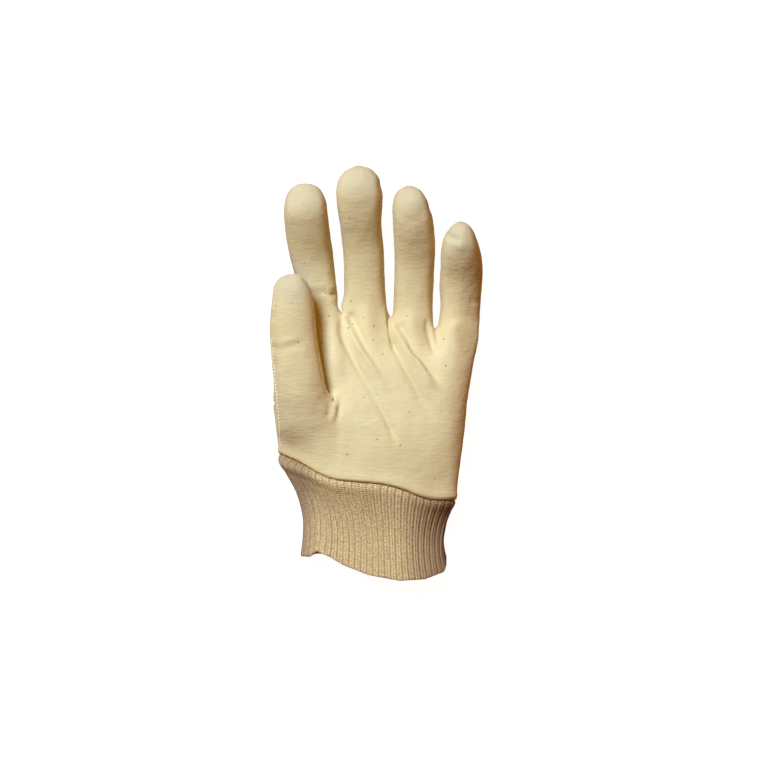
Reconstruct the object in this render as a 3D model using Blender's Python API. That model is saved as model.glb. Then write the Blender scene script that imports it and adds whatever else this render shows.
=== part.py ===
"""A cotton canvas work glove with a ribbed knit wrist: a left glove, lying on its back, palm up.

Fingers point along +Y, the thumb lies towards -X and the palm faces +Z. Lengths are in metres.
The canvas is one surface through rings of points: palm rings, then a tube of rings for each digit.
Its faces are sorted into the panels that the glove is sewn from, and each panel is given its
thickness. The knit wrist is a ribbed sleeve that starts from the canvas's own lower edge.
"""

import math

import bpy
import numpy as np

# Cloth
CANVAS_THICKNESS = 0.0016
KNIT_THICKNESS = 0.0020
SEAM_GAP = 0.0006
SHARP_CORNER_SHARE = 0.4
REST_DEPTH = 0.0012

# Hand, measured flat on the glove: lengths run along +Y and widths along X
PALM_LENGTH = 0.101
PALM_DEPTH = 0.034
WRIST_WIDTH = 0.1095
FINGER_GAP = 0.0030
WEB_RISE = 0.0095
THUMB_BASE_RISE = 0.046
THUMB_BASE_LIFT = 0.027

INDEX_LENGTH = 0.0795
MIDDLE_LENGTH = 0.0925
RING_LENGTH = 0.0840
LITTLE_LENGTH = 0.0645
THUMB_LENGTH = 0.0797

INDEX_WIDTH = 0.0285
MIDDLE_WIDTH = 0.0285
RING_WIDTH = 0.0262
LITTLE_WIDTH = 0.0268
THUMB_WIDTH = 0.0306

FINGER_DEPTH = 0.0240
THUMB_DEPTH = 0.0245

# Knit wrist
CUFF_LENGTH = 0.0610
CUFF_WIDTH = 0.0880
CUFF_DEPTH = 0.0235
CUFF_INSET = 0.0009
RIB_COUNT = 56
RIB_HEIGHT = 0.0010

# Smoothing
SUBDIVISION = 1
FIT_ROUNDS = 5

# Panels, as zones of the canvas's faces
PALM, BACK, THUMB_FRONT, THUMB_BACK = range(4)
PANELS = {
    "palm_panel": (PALM, THUMB_FRONT),
    "back_panel": (BACK,),
    "thumb_back_panel": (THUMB_BACK,),
}

# Finger: length, width, width of its base as a share of its width, crotch heights at its left and
# right as shares of the palm length, depth as a share of the finger depth
FINGERS = {
    "index": (INDEX_LENGTH, INDEX_WIDTH, 0.76, 0.036, 0.032, 1.00),
    "middle": (MIDDLE_LENGTH, MIDDLE_WIDTH, 0.97, 0.032, 0.010, 1.02),
    "ring": (RING_LENGTH, RING_WIDTH, 1.03, 0.010, -0.054, 0.97),
    "little": (LITTLE_LENGTH, LITTLE_WIDTH, 0.89, -0.054, -0.050, 0.90),
}

# Rows of each digit. along and sway are shares of its length, width is a share of its width.
DIGIT_ROWS = {
    "index": (
        # along, sway, width
        (0.11, -0.020, 0.82),
        (0.38, -0.066, 0.93),
        (0.62, -0.102, 0.98),
        (0.82, -0.118, 0.93),
        (0.95, -0.122, 0.69),
        (1.00, -0.122, 0.00),
    ),
    "middle": (
        (0.11, -0.003, 0.91),
        (0.38, -0.010, 0.90),
        (0.62, -0.032, 0.94),
        (0.83, -0.038, 1.00),
        (0.95, -0.046, 0.72),
        (1.00, -0.048, 0.00),
    ),
    "ring": (
        (0.11, -0.004, 0.95),
        (0.38, 0.002, 0.95),
        (0.60, 0.004, 0.99),
        (0.82, -0.020, 0.90),
        (0.95, -0.040, 0.64),
        (1.00, -0.046, 0.00),
    ),
    "little": (
        (0.11, 0.010, 0.95),
        (0.38, 0.020, 0.99),
        (0.60, 0.022, 0.97),
        (0.80, 0.004, 0.84),
        (0.94, 0.016, 0.52),
        (1.00, 0.020, 0.00),
    ),
    "thumb": (
        (0.16, -0.028, 1.05),
        (0.38, -0.056, 0.97),
        (0.60, -0.072, 0.93),
        (0.82, -0.078, 0.82),
        (0.95, -0.098, 0.56),
        (1.00, -0.108, 0.00),
    ),
}

# How a digit bends up from the palm, against its share of length. lift is a share of the digit's
# length, depth a share of the digit's depth.
FINGER_BEND = (
    # along, lift, depth
    (0.11, 0.000, 1.00),
    (0.38, 0.028, 0.95),
    (0.62, 0.120, 0.94),
    (0.82, 0.185, 0.96),
    (0.95, 0.200, 0.66),
    (1.00, 0.190, 0.00),
)
THUMB_BEND = (
    (0.00, 0.000, 1.36),
    (0.16, 0.096, 1.04),
    (0.38, 0.130, 1.00),
    (0.60, 0.160, 0.98),
    (0.82, 0.185, 0.90),
    (0.95, 0.195, 0.60),
    (1.00, 0.190, 0.00),
)

# Angles round a digit's section in degrees: 0 is its right side, 90 its palm side
FINGER_ANGLES = (148, 119, 90, 61, 32, -4, -44, -90, -136, 184)
THUMB_ANGLES = (146, 116, 88, 56, 20, -12, -40, -66, -92, -122, -157, 168)
THUMB_BASE_WIDTH = 1.22

# Palm rows from the finger crotches down to the wrist seam. along and slope are shares of the palm
# length, left and right are edges as shares of the width there, height is a share of the palm
# depth, and valley is how far the crotch lines dip between the finger mounds.
PALM_ROWS = (
    # along, left, right, slope, height, valley
    (0.00, 0.000, 1.000, 0.000, 0.80, 0.22),
    (0.13, 0.022, 0.983, 0.050, 0.87, 0.10),
    (0.27, 0.062, 0.961, 0.040, 0.94, 0.03),
    (0.41, 0.095, 0.941, 0.035, 0.98, 0.00),
    (0.55, 0.040, 0.922, 0.050, 1.00, 0.00),
)
# Below the thumb's crotch. thumb says how far the left side has taken the thumb's own shape.
THENAR_ROWS = (
    # along, left, right, slope, height, thumb
    (0.55, -0.150, 0.922, 0.050, 1.00, 1.00),
    (0.69, -0.136, 0.906, 0.120, 0.99, 0.55),
    (0.84, -0.130, 0.884, 0.200, 0.94, 0.20),
    (1.00, -0.124, 0.862, 0.280, 0.86, 0.00),
)
THUMB_CROTCH = 0.173
WRIST_SAG = 0.022
FRONT_SQUARENESS = 2.7
BACK_SQUARENESS = 4.5
FRONT_REACH = 0.94
BACK_REACH = 0.90

# The web between thumb and palm: rise is a share of WEB_RISE, sink a share of the palm depth
WEB_POINTS = {
    # column: rise, sink
    2: (0.30, 0.06),
    1: (0.60, 0.14),
    0: (0.90, 0.20),
    27: (1.10, 0.12),
    26: (0.85, 0.02),
}

# Folds pressed into the canvas. x is a share of the knuckle width, y a share of the palm length
# above the crotch line; half width and height are in metres, and a valley's height is negative.
FOLDS = (
    # zone, start x, y, middle x, y, end x, y, half width, height
    (PALM, 0.21, -0.02, 0.31, -0.29, 0.51, -0.66, 0.0036, -0.0028),
    (PALM, 0.26, -0.04, 0.36, -0.28, 0.55, -0.58, 0.0038, 0.0014),
    (PALM, 0.25, 0.00, 0.31, -0.15, 0.45, -0.32, 0.0032, -0.0024),
    (PALM, 0.49, 0.02, 0.53, -0.22, 0.70, -0.60, 0.0034, -0.0026),
    (PALM, 0.54, -0.04, 0.64, -0.26, 0.81, -0.46, 0.0034, -0.0026),
    (PALM, 0.57, -0.12, 0.66, -0.35, 0.80, -0.56, 0.0040, 0.0010),
    (PALM, 0.73, -0.08, 0.75, -0.19, 0.79, -0.30, 0.0030, -0.0015),
    (PALM, 0.04, 0.14, 0.12, 0.15, 0.21, 0.16, 0.0032, -0.0018),
    (PALM, 0.15, -0.48, 0.20, -0.55, 0.17, -0.65, 0.0028, 0.0018),
    (PALM, 0.22, -0.50, 0.24, -0.57, 0.20, -0.65, 0.0026, -0.0014),
    (THUMB_FRONT, -0.17, -0.18, -0.08, -0.18, 0.02, -0.16, 0.0032, -0.0018),
)
FOLD_SAMPLES = 14

# Knit wrist rows from the canvas edge down to the hem. width and shift are shares of the cuff
# width, height a share of the cuff depth.
CUFF_ROWS = (
    # down, width, shift, height
    (0.06, 1.250, 0.000, 1.28),
    (0.17, 1.195, 0.006, 1.18),
    (0.36, 1.085, 0.026, 1.02),
    (0.60, 1.015, 0.041, 0.96),
    (0.82, 1.018, 0.045, 1.00),
    (1.00, 1.050, 0.045, 1.10),
)
# How far the hem hangs below its left corner, as a share of the cuff length, across the front
HEM_FRONT = (
    # across (-1 left, 1 right), drop
    (-1.00, 0.00),
    (-0.88, 0.00),
    (-0.77, -0.055),
    (-0.60, -0.005),
    (-0.41, 0.080),
    (-0.07, 0.180),
    (0.35, 0.240),
    (0.70, 0.228),
    (0.97, 0.160),
    (1.00, 0.105),
)
HEM_BACK_SHARE = 0.25
CUFF_LEFT_LENGTH = 1.06

# Colours, linear
CANVAS_COLOUR = (0.76, 0.66, 0.44, 1.0)
KNIT_COLOUR = (0.60, 0.48, 0.29, 1.0)


def lerp(a, b, share):
    return a + (b - a) * share


def superellipse(across, squareness):
    """Height of a unit superellipse at a distance across from its middle."""
    return max(0.0, 1 - abs(across) ** squareness) ** (1 / squareness)


def column_of(rows, index):
    return [row[index] for row in rows]


class Cage:
    """Rings of points joined by faces, each face in one zone of the canvas."""

    def __init__(self):
        self.points = []
        self.faces = []
        self.zones = []

    def add(self, points):
        first = len(self.points)
        self.points.extend(np.asarray(point, float) for point in points)
        return list(range(first, len(self.points)))

    def bridge(self, lower, upper, zones):
        count = len(lower)
        for k, zone in enumerate(zones):
            after = (k + 1) % count
            self.faces.append((lower[k], lower[after], upper[after], upper[k]))
            self.zones.append(zone)

    def close(self, ring, tip, zones):
        count = len(ring)
        for k, zone in enumerate(zones):
            self.faces.append((ring[k], ring[(k + 1) % count], tip))
            self.zones.append(zone)


def slot_edges():
    """X of each finger slot's edges at the crotches, from the index finger's outer edge."""
    edges = [0.0]
    for length, width, base_share, *rest in FINGERS.values():
        edges.append(edges[-1] + width * base_share + FINGER_GAP)
    return edges


SLOTS = slot_edges()
KNUCKLE_WIDTH = SLOTS[-1]
# Columns of a palm ring: 17 on the palm side, the right side, 9 on the back, the left side
FRONT_COLUMNS = 17
RIGHT_SIDE = 17
BACK_COLUMNS = range(18, 27)
LEFT_SIDE = 27
THUMB_CROTCH_COLUMN = 3


def front_shares():
    """Where the front columns stand across the knuckles, four to a finger, from 0 to 1."""
    xs = []
    for left, right in zip(SLOTS, SLOTS[1:]):
        xs += [lerp(left, right, quarter / 4) for quarter in range(4)]
    return [x / KNUCKLE_WIDTH for x in xs + [SLOTS[-1]]]


def back_shares():
    """Where the back columns stand across the knuckles, from right to left, two to a finger."""
    xs = [SLOTS[-1]]
    for left, right in reversed(list(zip(SLOTS, SLOTS[1:]))):
        xs += [(left + right) / 2, left]
    return [x / KNUCKLE_WIDTH for x in xs]


def oval_point(left, right, height, across, is_front, reach):
    """A point on a palm or wrist section: left and right are its ends in plan, across runs -1 to 1."""
    shown = across * reach
    x, y = lerp(np.asarray(left), np.asarray(right), (shown + 1) / 2)
    middle = height / 2
    if is_front:
        z = middle * (1 + superellipse(shown, FRONT_SQUARENESS))
    else:
        pressed = middle + REST_DEPTH
        z = max(0.0, middle - pressed * superellipse(shown, BACK_SQUARENESS))
    return np.array((x, y, z))


def palm_ends(row):
    """The left and right ends of a palm section in plan, narrowing from the knuckles to the wrist."""
    along, left, right, slope = row[:4]
    narrowing = WRIST_WIDTH / 0.1095 if along == 1.0 else 1.0
    middle = KNUCKLE_WIDTH * (left + right) / 2
    half = KNUCKLE_WIDTH * (right - left) / 2 * narrowing
    y = -along * PALM_LENGTH
    tilt = slope * PALM_LENGTH
    return (middle - half, y + tilt * 0.58), (middle + half, y - tilt * 0.42)


def crotch_dip(share):
    """1 at a finger crotch, 0 at a finger's middle and outside it, for a share across the knuckles."""
    x = share * KNUCKLE_WIDTH
    if x < (SLOTS[0] + SLOTS[1]) / 2 or x > (SLOTS[-2] + SLOTS[-1]) / 2:
        return 0.0
    for left, right in zip(SLOTS, SLOTS[1:]):
        if left <= x <= right + 1e-9:
            return math.cos(math.pi * (x - left) / (right - left)) ** 2
    return 0.0


def crotch_height(share):
    """Y of the crotch line at a share across the knuckles."""
    rises = [values[3] for values in FINGERS.values()] + [FINGERS["little"][4]]
    return PALM_LENGTH * float(np.interp(share * KNUCKLE_WIDTH, SLOTS, rises))


def palm_ring(row):
    """The 28 points of a palm section above the thumb's crotch."""
    left, right = palm_ends(row)
    along, height, valley = row[0], row[4] * PALM_DEPTH, row[5]
    follow = 1 - min(1.0, along / PALM_ROWS[2][0])
    points = []
    for share in front_shares():
        point = oval_point(left, right, height, 2 * share - 1, True, FRONT_REACH)
        dip = crotch_dip(share)
        point[2] -= valley * height * dip
        point[1] += follow * (crotch_height(share) - 0.03 * PALM_LENGTH * dip)
        points.append(point)
    points.append(np.array((*right, height / 2)))
    for share in back_shares():
        point = oval_point(left, right, height, 2 * share - 1, False, BACK_REACH)
        dip = crotch_dip(share)
        point[2] += 0.5 * valley * height * dip
        point[1] += follow * (crotch_height(share) - 0.03 * PALM_LENGTH * dip)
        points.append(point)
    points.append(np.array((*left, height / 2)))
    points[RIGHT_SIDE][1] += follow * crotch_height(1.0)
    points[LEFT_SIDE][1] += follow * crotch_height(0.0)
    return points


def section_frame(axis, k):
    """The across and outward directions of a tube's section at its k-th axis point."""
    before, after = axis[max(k - 1, 0)], axis[min(k + 1, len(axis) - 1)]
    tangent = (after - before) / np.linalg.norm(after - before)
    across = np.array((1.0, 0.0, 0.0)) - tangent[0] * tangent
    across /= np.linalg.norm(across)
    return across, np.cross(across, tangent)


def tube_ring(centre, across, outward, half_width, half_depth, angles):
    points = []
    for angle in angles:
        turn = math.radians(angle)
        u = math.copysign(abs(math.cos(turn)) ** 0.88, math.cos(turn))
        v = math.copysign(abs(math.sin(turn)) ** 0.88, math.sin(turn))
        point = centre + u * half_width * across + v * half_depth * outward
        point[2] = max(0.0, point[2])
        points.append(point)
    return points


def digit_rings(base, length, width, depth, rows, bend, angles):
    """The rings of a digit, from the first row to the last full one, and its tip point."""
    lifts = np.interp(column_of(rows, 0), column_of(bend, 0), column_of(bend, 1))
    depths = np.interp(column_of(rows, 0), column_of(bend, 0), column_of(bend, 2))
    axis = [np.asarray(base, float)]
    for (along, sway, _), lift in zip(rows, lifts):
        axis.append(axis[0] + length * np.array((sway, along, lift)))
    rings = []
    for k, ((_, _, width_share), depth_share) in enumerate(zip(rows, depths), start=1):
        if width_share == 0:
            break
        across, outward = section_frame(axis, k)
        half_width, half_depth = width * width_share / 2, depth * depth_share / 2
        rings.append(tube_ring(axis[k], across, outward, half_width, half_depth, angles))
    return rings, axis[-1]


def grow_digit(cage, base_ring, rings, tip, zones):
    lower = base_ring
    for points in rings:
        upper = cage.add(points)
        cage.bridge(lower, upper, zones)
        lower = upper
    cage.close(lower, cage.add([tip])[0], zones)


def finger_base_ring(ring, webs, finger):
    """The 10 points that a finger shares with the palm's top ring and the webs beside it."""
    front = ring[4 * finger : 4 * finger + 5]
    back_first = BACK_COLUMNS[0] + 2 * (3 - finger)
    back = ring[back_first : back_first + 3]
    right = ring[RIGHT_SIDE] if finger == 3 else webs[finger]
    left = ring[LEFT_SIDE] if finger == 0 else webs[finger - 1]
    return front + [right] + back + [left]


def add_fingers(cage, top_ring):
    webs = []
    for finger in range(3):
        front = cage.points[top_ring[4 * (finger + 1)]]
        back = cage.points[top_ring[BACK_COLUMNS[0] + 2 * (3 - finger)]]
        web = (front + back) / 2
        web[1] = crotch_height(SLOTS[finger + 1] / KNUCKLE_WIDTH)
        webs += cage.add([web])
    zones = [PALM] * 6 + [BACK] * 2 + [PALM] * 2
    for finger, (name, values) in enumerate(FINGERS.items()):
        length, width, _, left_rise, right_rise, depth_share = values
        depth = FINGER_DEPTH * depth_share
        base = (
            (SLOTS[finger] + SLOTS[finger + 1]) / 2,
            PALM_LENGTH * (left_rise + right_rise) / 2,
            depth / 2,
        )
        rings, tip = digit_rings(
            base, length, width, depth, DIGIT_ROWS[name], FINGER_BEND, FINGER_ANGLES
        )
        grow_digit(cage, finger_base_ring(top_ring, webs, finger), rings, tip, zones)


def thenar_ring(row, thumb_base):
    """The 30 points of a section below the thumb's crotch: columns 3 to 26, then the thumb's outer arc."""
    left, right = palm_ends(row)
    height, thumb_share = row[4] * PALM_DEPTH, row[5]
    crotch_x = THUMB_CROTCH * KNUCKLE_WIDTH
    start = 2 * (crotch_x - left[0]) / (right[0] - left[0]) - 1
    shares = front_shares()
    first = shares[THUMB_CROTCH_COLUMN]
    sag = WRIST_SAG * PALM_LENGTH * row[0] ** 3
    points = []
    for share in shares[THUMB_CROTCH_COLUMN:]:
        across = lerp(start, 1.0, (share - first) / (1 - first))
        points.append(oval_point(left, right, height, across, True, FRONT_REACH))
    points.append(np.array((*right, height / 2)))
    for share in back_shares():
        across = lerp(-0.86, 1.0, share)
        points.append(oval_point(left, right, height, across, False, BACK_REACH))
    arc = [oval_point(left, right, height, -1.0, False, 0.965)]
    arc.append(np.array((*left, height * 0.52)))
    for across in (-0.955, -0.86, -0.73, -0.59):
        arc.append(oval_point(left, right, height, across, True, 1.0))
    for point, thumb_point in zip(arc, thumb_base):
        shift = np.array((0.0, (thumb_point[1] - point[1]) * thumb_share, 0.0))
        lifted = lerp(point, thumb_point, thumb_share)
        lifted[1] = point[1] + (shift[1] if thumb_share == 1.0 else 0.0)
        points.append(lifted)
    for point in points:
        across = 2 * (point[0] - left[0]) / (right[0] - left[0]) - 1
        point[1] -= sag * (1 - min(1.0, across**2))
    return points


def build_cage():
    cage = Cage()
    upper_zones = [PALM] * 18 + [BACK] * 8 + [PALM] * 2
    lower_zones = [PALM] * 15 + [BACK] * 10 + [PALM] * 5
    thumb_zones = [THUMB_FRONT] * 4 + [THUMB_BACK] * 7 + [THUMB_FRONT]

    thumb_base = (
        THUMB_CROTCH * KNUCKLE_WIDTH - THUMB_WIDTH * THUMB_BASE_WIDTH * 0.49,
        -THUMB_BASE_RISE - 0.0075,
        THUMB_BASE_LIFT,
    )
    axis = [np.asarray(thumb_base), np.asarray(thumb_base) + (0, THUMB_LENGTH, 0)]
    across, outward = section_frame(axis, 0)
    base_depth = THUMB_DEPTH * THUMB_BEND[0][2]
    base_arc = tube_ring(
        axis[0],
        across,
        outward,
        THUMB_WIDTH * THUMB_BASE_WIDTH / 2,
        base_depth / 2,
        (*THUMB_ANGLES[-2:], *THUMB_ANGLES[:4]),
    )

    split = thenar_ring(THENAR_ROWS[0], base_arc)
    crotch_ring = palm_ring(PALM_ROWS[-1])
    lower_split = cage.add(split)
    web_columns = cage.add(crotch_ring[column] for column in (LEFT_SIDE, 0, 1, 2))
    for index, column in zip(web_columns, (LEFT_SIDE, 0, 1, 2)):
        rise, sink = WEB_POINTS[column]
        cage.points[index][1] += rise * WEB_RISE
        cage.points[index][2] -= sink * PALM_DEPTH
    upper_split = web_columns[1:] + lower_split[:24] + [web_columns[0]]
    thumb_ring = lower_split[26:30] + [lower_split[0]]
    thumb_ring += [web_columns[3], web_columns[2], web_columns[1], web_columns[0]]
    thumb_ring += [lower_split[23], lower_split[24], lower_split[25]]

    upper = lower_split
    for row in THENAR_ROWS[1:]:
        lower = cage.add(thenar_ring(row, base_arc))
        cage.bridge(lower, upper, lower_zones)
        upper = lower

    lower = upper_split
    for row in reversed(PALM_ROWS[:-1]):
        ring = cage.add(palm_ring(row))
        cage.bridge(lower, ring, upper_zones)
        lower = ring
    add_fingers(cage, lower)

    rings, tip = digit_rings(
        thumb_base, THUMB_LENGTH, THUMB_WIDTH, THUMB_DEPTH, DIGIT_ROWS["thumb"], THUMB_BEND, THUMB_ANGLES
    )
    grow_digit(cage, thumb_ring, rings, tip, thumb_zones)
    return cage


def smooth_surface(cage):
    """The cage subdivided, with its points first moved until the smooth surface passes through them."""
    mesh = bpy.data.meshes.new("canvas_cage")
    mesh.from_pydata([tuple(point) for point in cage.points], [], cage.faces)
    for polygon, zone in zip(mesh.polygons, cage.zones):
        polygon.material_index = zone
    for _ in range(len(PANELS) + 1):
        mesh.materials.append(None)
    helper = bpy.data.objects.new("canvas_cage", mesh)
    bpy.context.scene.collection.objects.link(helper)
    subdivide = helper.modifiers.new("smooth", "SUBSURF")
    subdivide.levels = subdivide.render_levels = SUBDIVISION
    target = np.array(cage.points)
    moved = target.copy()
    for _ in range(FIT_ROUNDS):
        limit = evaluated(helper)[0][: len(target)]
        moved += target - limit
        moved[:, 2] = np.where(target[:, 2] <= 0, np.maximum(moved[:, 2], 0), moved[:, 2])
        mesh.vertices.foreach_set("co", moved.ravel())
        mesh.update()
    points, faces, zones = evaluated(helper)
    bpy.data.objects.remove(helper)
    points[:, 2] = np.maximum(points[:, 2], 0)
    return points, faces, zones


def evaluated(thing):
    """Points, faces and zones of an object as its modifiers make it."""
    graph = bpy.context.evaluated_depsgraph_get()
    graph.update()
    result = thing.evaluated_get(graph).to_mesh()
    points = np.empty(len(result.vertices) * 3)
    result.vertices.foreach_get("co", points)
    faces = [tuple(polygon.vertices) for polygon in result.polygons]
    zones = [polygon.material_index for polygon in result.polygons]
    thing.evaluated_get(graph).to_mesh_clear()
    return points.reshape(-1, 3), faces, zones


def vertex_normals(points, faces):
    normals = np.zeros_like(points)
    for face in faces:
        corner = points[list(face)]
        normal = np.cross(corner[2] - corner[0], corner[-1] - corner[1])
        for index in face:
            normals[index] += normal
    return normals / np.linalg.norm(normals, axis=1)[:, None]


def fold_distance(plan, start, middle, end):
    """Distance in plan of each point from a curved fold line, and where along it the nearest spot is."""
    share = np.linspace(0, 1, FOLD_SAMPLES)[:, None]
    line = (1 - share) ** 2 * start + 2 * share * (1 - share) * middle + share**2 * end
    nearest = np.full(len(plan), np.inf)
    place = np.zeros(len(plan))
    for k in range(FOLD_SAMPLES - 1):
        step = line[k + 1] - line[k]
        along = np.clip((plan - line[k]) @ step / (step @ step), 0, 1)
        distance = np.linalg.norm(plan - line[k] - along[:, None] * step, axis=1)
        closer = distance < nearest
        nearest[closer] = distance[closer]
        place[closer] = ((k + along) / (FOLD_SAMPLES - 1))[closer]
    return nearest, place


def eased(normals, faces):
    """Normals averaged with their neighbours', so that the inner faces of a tight bend don't cross."""
    total = normals.copy()
    for face in faces:
        total[list(face)] += normals[list(face)].mean(axis=0)
    return total / np.linalg.norm(total, axis=1)[:, None]


def press_folds(points, faces, zones):
    normals = vertex_normals(points, faces)
    shift = np.zeros(len(points))
    scale = np.array((KNUCKLE_WIDTH, PALM_LENGTH))
    for zone, *line, half_width, height in FOLDS:
        start, control, end = (np.array(line[k : k + 2]) * scale for k in (0, 2, 4))
        middle = 2 * control - (start + end) / 2
        distance, place = fold_distance(points[:, :2], start, middle, end)
        fade = np.sin(np.pi * np.clip(0.12 + 0.88 * place, 0, 1)) ** 0.6
        belongs = np.zeros(len(points), bool)
        for face, face_zone in zip(faces, zones):
            if face_zone == zone:
                belongs[list(face)] = True
        for face, face_zone in zip(faces, zones):
            if face_zone != zone:
                belongs[list(face)] = False
        facing = np.clip(normals[:, 2] * 2, 0, 1)
        shift += height * np.exp(-((distance / half_width) ** 2)) * fade * facing * belongs
    return points + shift[:, None] * normals


def panel_edges(faces):
    """Directed edges that only one of the faces uses, as a map from start to end."""
    used = set()
    for face in faces:
        for k, start in enumerate(face):
            used.add((start, face[(k + 1) % len(face)]))
    return {a: b for a, b in used if (b, a) not in used}


def corner_share(points, index, ahead, behind):
    """How much of its draw-back a seam point gets: less at a sharp corner, where edge faces twist."""
    one = points[ahead] - points[index]
    other = points[behind] - points[index]
    lengths = np.linalg.norm(one), np.linalg.norm(other)
    if min(lengths) == 0:
        return 1.0
    return 1.0 if one @ other / (lengths[0] * lengths[1]) < 0 else SHARP_CORNER_SHARE


def panel_solid(name, points, normals, inward, faces, open_points, material):
    """A cloth panel with its thickness, its sewn edges drawn back by half the seam gap."""
    rim = panel_edges(faces)
    before = {end: start for start, end in rim.items()}
    around = {index: [] for index in rim}
    for face in faces:
        for index in face:
            if index in around:
                around[index].append(points[list(face)].mean(axis=0))
    outer = points.copy()
    for index, centres in around.items():
        pull = np.mean(centres, axis=0) - points[index]
        ahead, behind = rim[index], before[index]
        if index in open_points:
            ahead = index if ahead in open_points else ahead
            behind = index if behind in open_points else behind
        if ahead == index and behind == index:
            continue
        seam = points[ahead] - points[behind]
        seam /= np.linalg.norm(seam)
        pull -= (pull @ normals[index]) * normals[index] + (pull @ seam) * seam
        pull /= np.linalg.norm(pull)
        outer[index] += pull * corner_share(points, index, ahead, behind) * SEAM_GAP / 2
    used = sorted({index for face in faces for index in face})
    place = {index: k for k, index in enumerate(used)}
    count = len(used)
    inner = outer[used] - CANVAS_THICKNESS * inward[used]
    solid_faces = [tuple(place[i] for i in face) for face in faces]
    solid_faces += [tuple(place[i] + count for i in reversed(face)) for face in faces]
    for start, end in rim.items():
        a, b = place[start], place[end]
        # Both panels at a seam split its twisted edge faces the same way, so that they don't cross.
        if start < end:
            solid_faces += [(b, a, b + count), (a, a + count, b + count)]
        else:
            solid_faces += [(b, a, a + count), (b, a + count, b + count)]
    return add_object(name, np.vstack((outer[used], inner)), solid_faces, material)


def add_object(name, points, faces, material):
    mesh = bpy.data.meshes.new(name)
    mesh.from_pydata([tuple(point) for point in points], [], faces)
    mesh.materials.append(material)
    mesh.shade_smooth()
    mesh.set_sharp_from_angle(angle=math.radians(50))
    thing = bpy.data.objects.new(name, mesh)
    bpy.context.scene.collection.objects.link(thing)
    return thing


def wrist_loop(points, faces):
    """The canvas's lower edge in order, starting at its leftmost point and crossing the front first."""
    following = {end: start for start, end in panel_edges(faces).items()}
    start = min(following, key=lambda index: points[index][0])
    loop = [start]
    while following[loop[-1]] != start:
        loop.append(following[loop[-1]])
    if points[loop[len(loop) // 4]][2] < points[loop[3 * len(loop) // 4]][2]:
        loop = [start] + loop[:0:-1]
    return points[loop], set(loop)


def by_share(loop, shares):
    """Points of a closed loop at shares of its length."""
    closed = np.vstack((loop, loop[:1]))
    steps = np.linalg.norm(np.diff(closed, axis=0), axis=1)
    reached = np.concatenate(([0], np.cumsum(steps))) / steps.sum()
    return np.column_stack([np.interp(shares, reached, closed[:, k]) for k in range(3)])


def cuff_oval(left, right, height, count=96):
    """A closed section of the knit wrist, starting at its left end."""
    turns = np.linspace(math.pi, -math.pi, count, endpoint=False)
    points = []
    for turn in turns:
        across = math.cos(turn)
        is_front = math.sin(turn) >= 0
        points.append(oval_point(left, right, height, across, is_front, 1.0))
    return np.array(points)


def outward_in_section(ring):
    """Unit vectors square to a ring, in its own section, pointing out of it."""
    tangent = np.roll(ring, -1, axis=0) - np.roll(ring, 1, axis=0)
    tangent[:, 1] = 0
    out = np.column_stack((-tangent[:, 2], np.zeros(len(ring)), tangent[:, 0]))
    return out / np.linalg.norm(out, axis=1)[:, None]


def knit_cuff(loop, material):
    count = 2 * RIB_COUNT
    shares = np.arange(count) / count
    top = by_share(loop, shares)
    top[:, 1] -= SEAM_GAP
    left_end, right_end = top[np.argmin(top[:, 0])], top[np.argmax(top[:, 0])]
    middle_x = (left_end[0] + right_end[0]) / 2
    hem_left_y = left_end[1] - CUFF_LEFT_LENGTH * CUFF_LENGTH
    rings = [top - outward_in_section(top) * CUFF_INSET]
    for down, width, shift, height in CUFF_ROWS:
        x = middle_x + shift * CUFF_WIDTH
        half = width * CUFF_WIDTH / 2
        ring = by_share(cuff_oval((x - half, 0), (x + half, 0), height * CUFF_DEPTH), shares)
        across = np.clip((ring[:, 0] - x) / half, -1, 1)
        drop = np.interp(across, column_of(HEM_FRONT, 0), column_of(HEM_FRONT, 1))
        drop = np.where(shares < 0.5, drop, drop * HEM_BACK_SHARE)
        hem_y = hem_left_y - drop * CUFF_LENGTH
        ring[:, 1] = lerp(top[:, 1], hem_y, down)
        rings.append(ring)
    outer, inner = [], []
    wave = 0.5 + 0.5 * np.cos(2 * math.pi * RIB_COUNT * shares)
    for ring in rings:
        out = outward_in_section(ring)
        raised = ring + out * (RIB_HEIGHT * (wave - 1))[:, None]
        outer.append(raised)
        inner.append(ring - out * KNIT_THICKNESS)
    points = np.vstack(outer + inner)
    rows = len(rings)
    faces = []
    for row in range(rows - 1):
        for k in range(count):
            after = (k + 1) % count
            a, b = row * count, (row + 1) * count
            c, d = a + rows * count, b + rows * count
            faces.append((a + k, b + k, b + after, a + after))
            faces.append((c + k, c + after, d + after, d + k))
    last = (rows - 1) * count
    for k in range(count):
        after = (k + 1) % count
        inside = rows * count
        faces.append((k, after, inside + after, inside + k))
        faces.append((last + after, last + k, inside + last + k, inside + last + after))
    return add_object("knit_cuff", points, faces, material)


def cloth_material(name, colour, roughness):
    material = bpy.data.materials.new(name)
    material.use_nodes = True
    shader = material.node_tree.nodes["Principled BSDF"]
    shader.inputs["Base Color"].default_value = colour
    shader.inputs["Roughness"].default_value = roughness
    shader.inputs["Metallic"].default_value = 0.0
    return material


def centre_on_floor(things):
    """Moves everything so that the origin is under the middle of the glove's box."""
    corners = np.vstack([[tuple(v.co) for v in thing.data.vertices] for thing in things])
    low, high = corners.min(axis=0), corners.max(axis=0)
    offset = np.array(((low[0] + high[0]) / 2, (low[1] + high[1]) / 2, low[2]))
    for thing in things:
        thing.location = -offset


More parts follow.
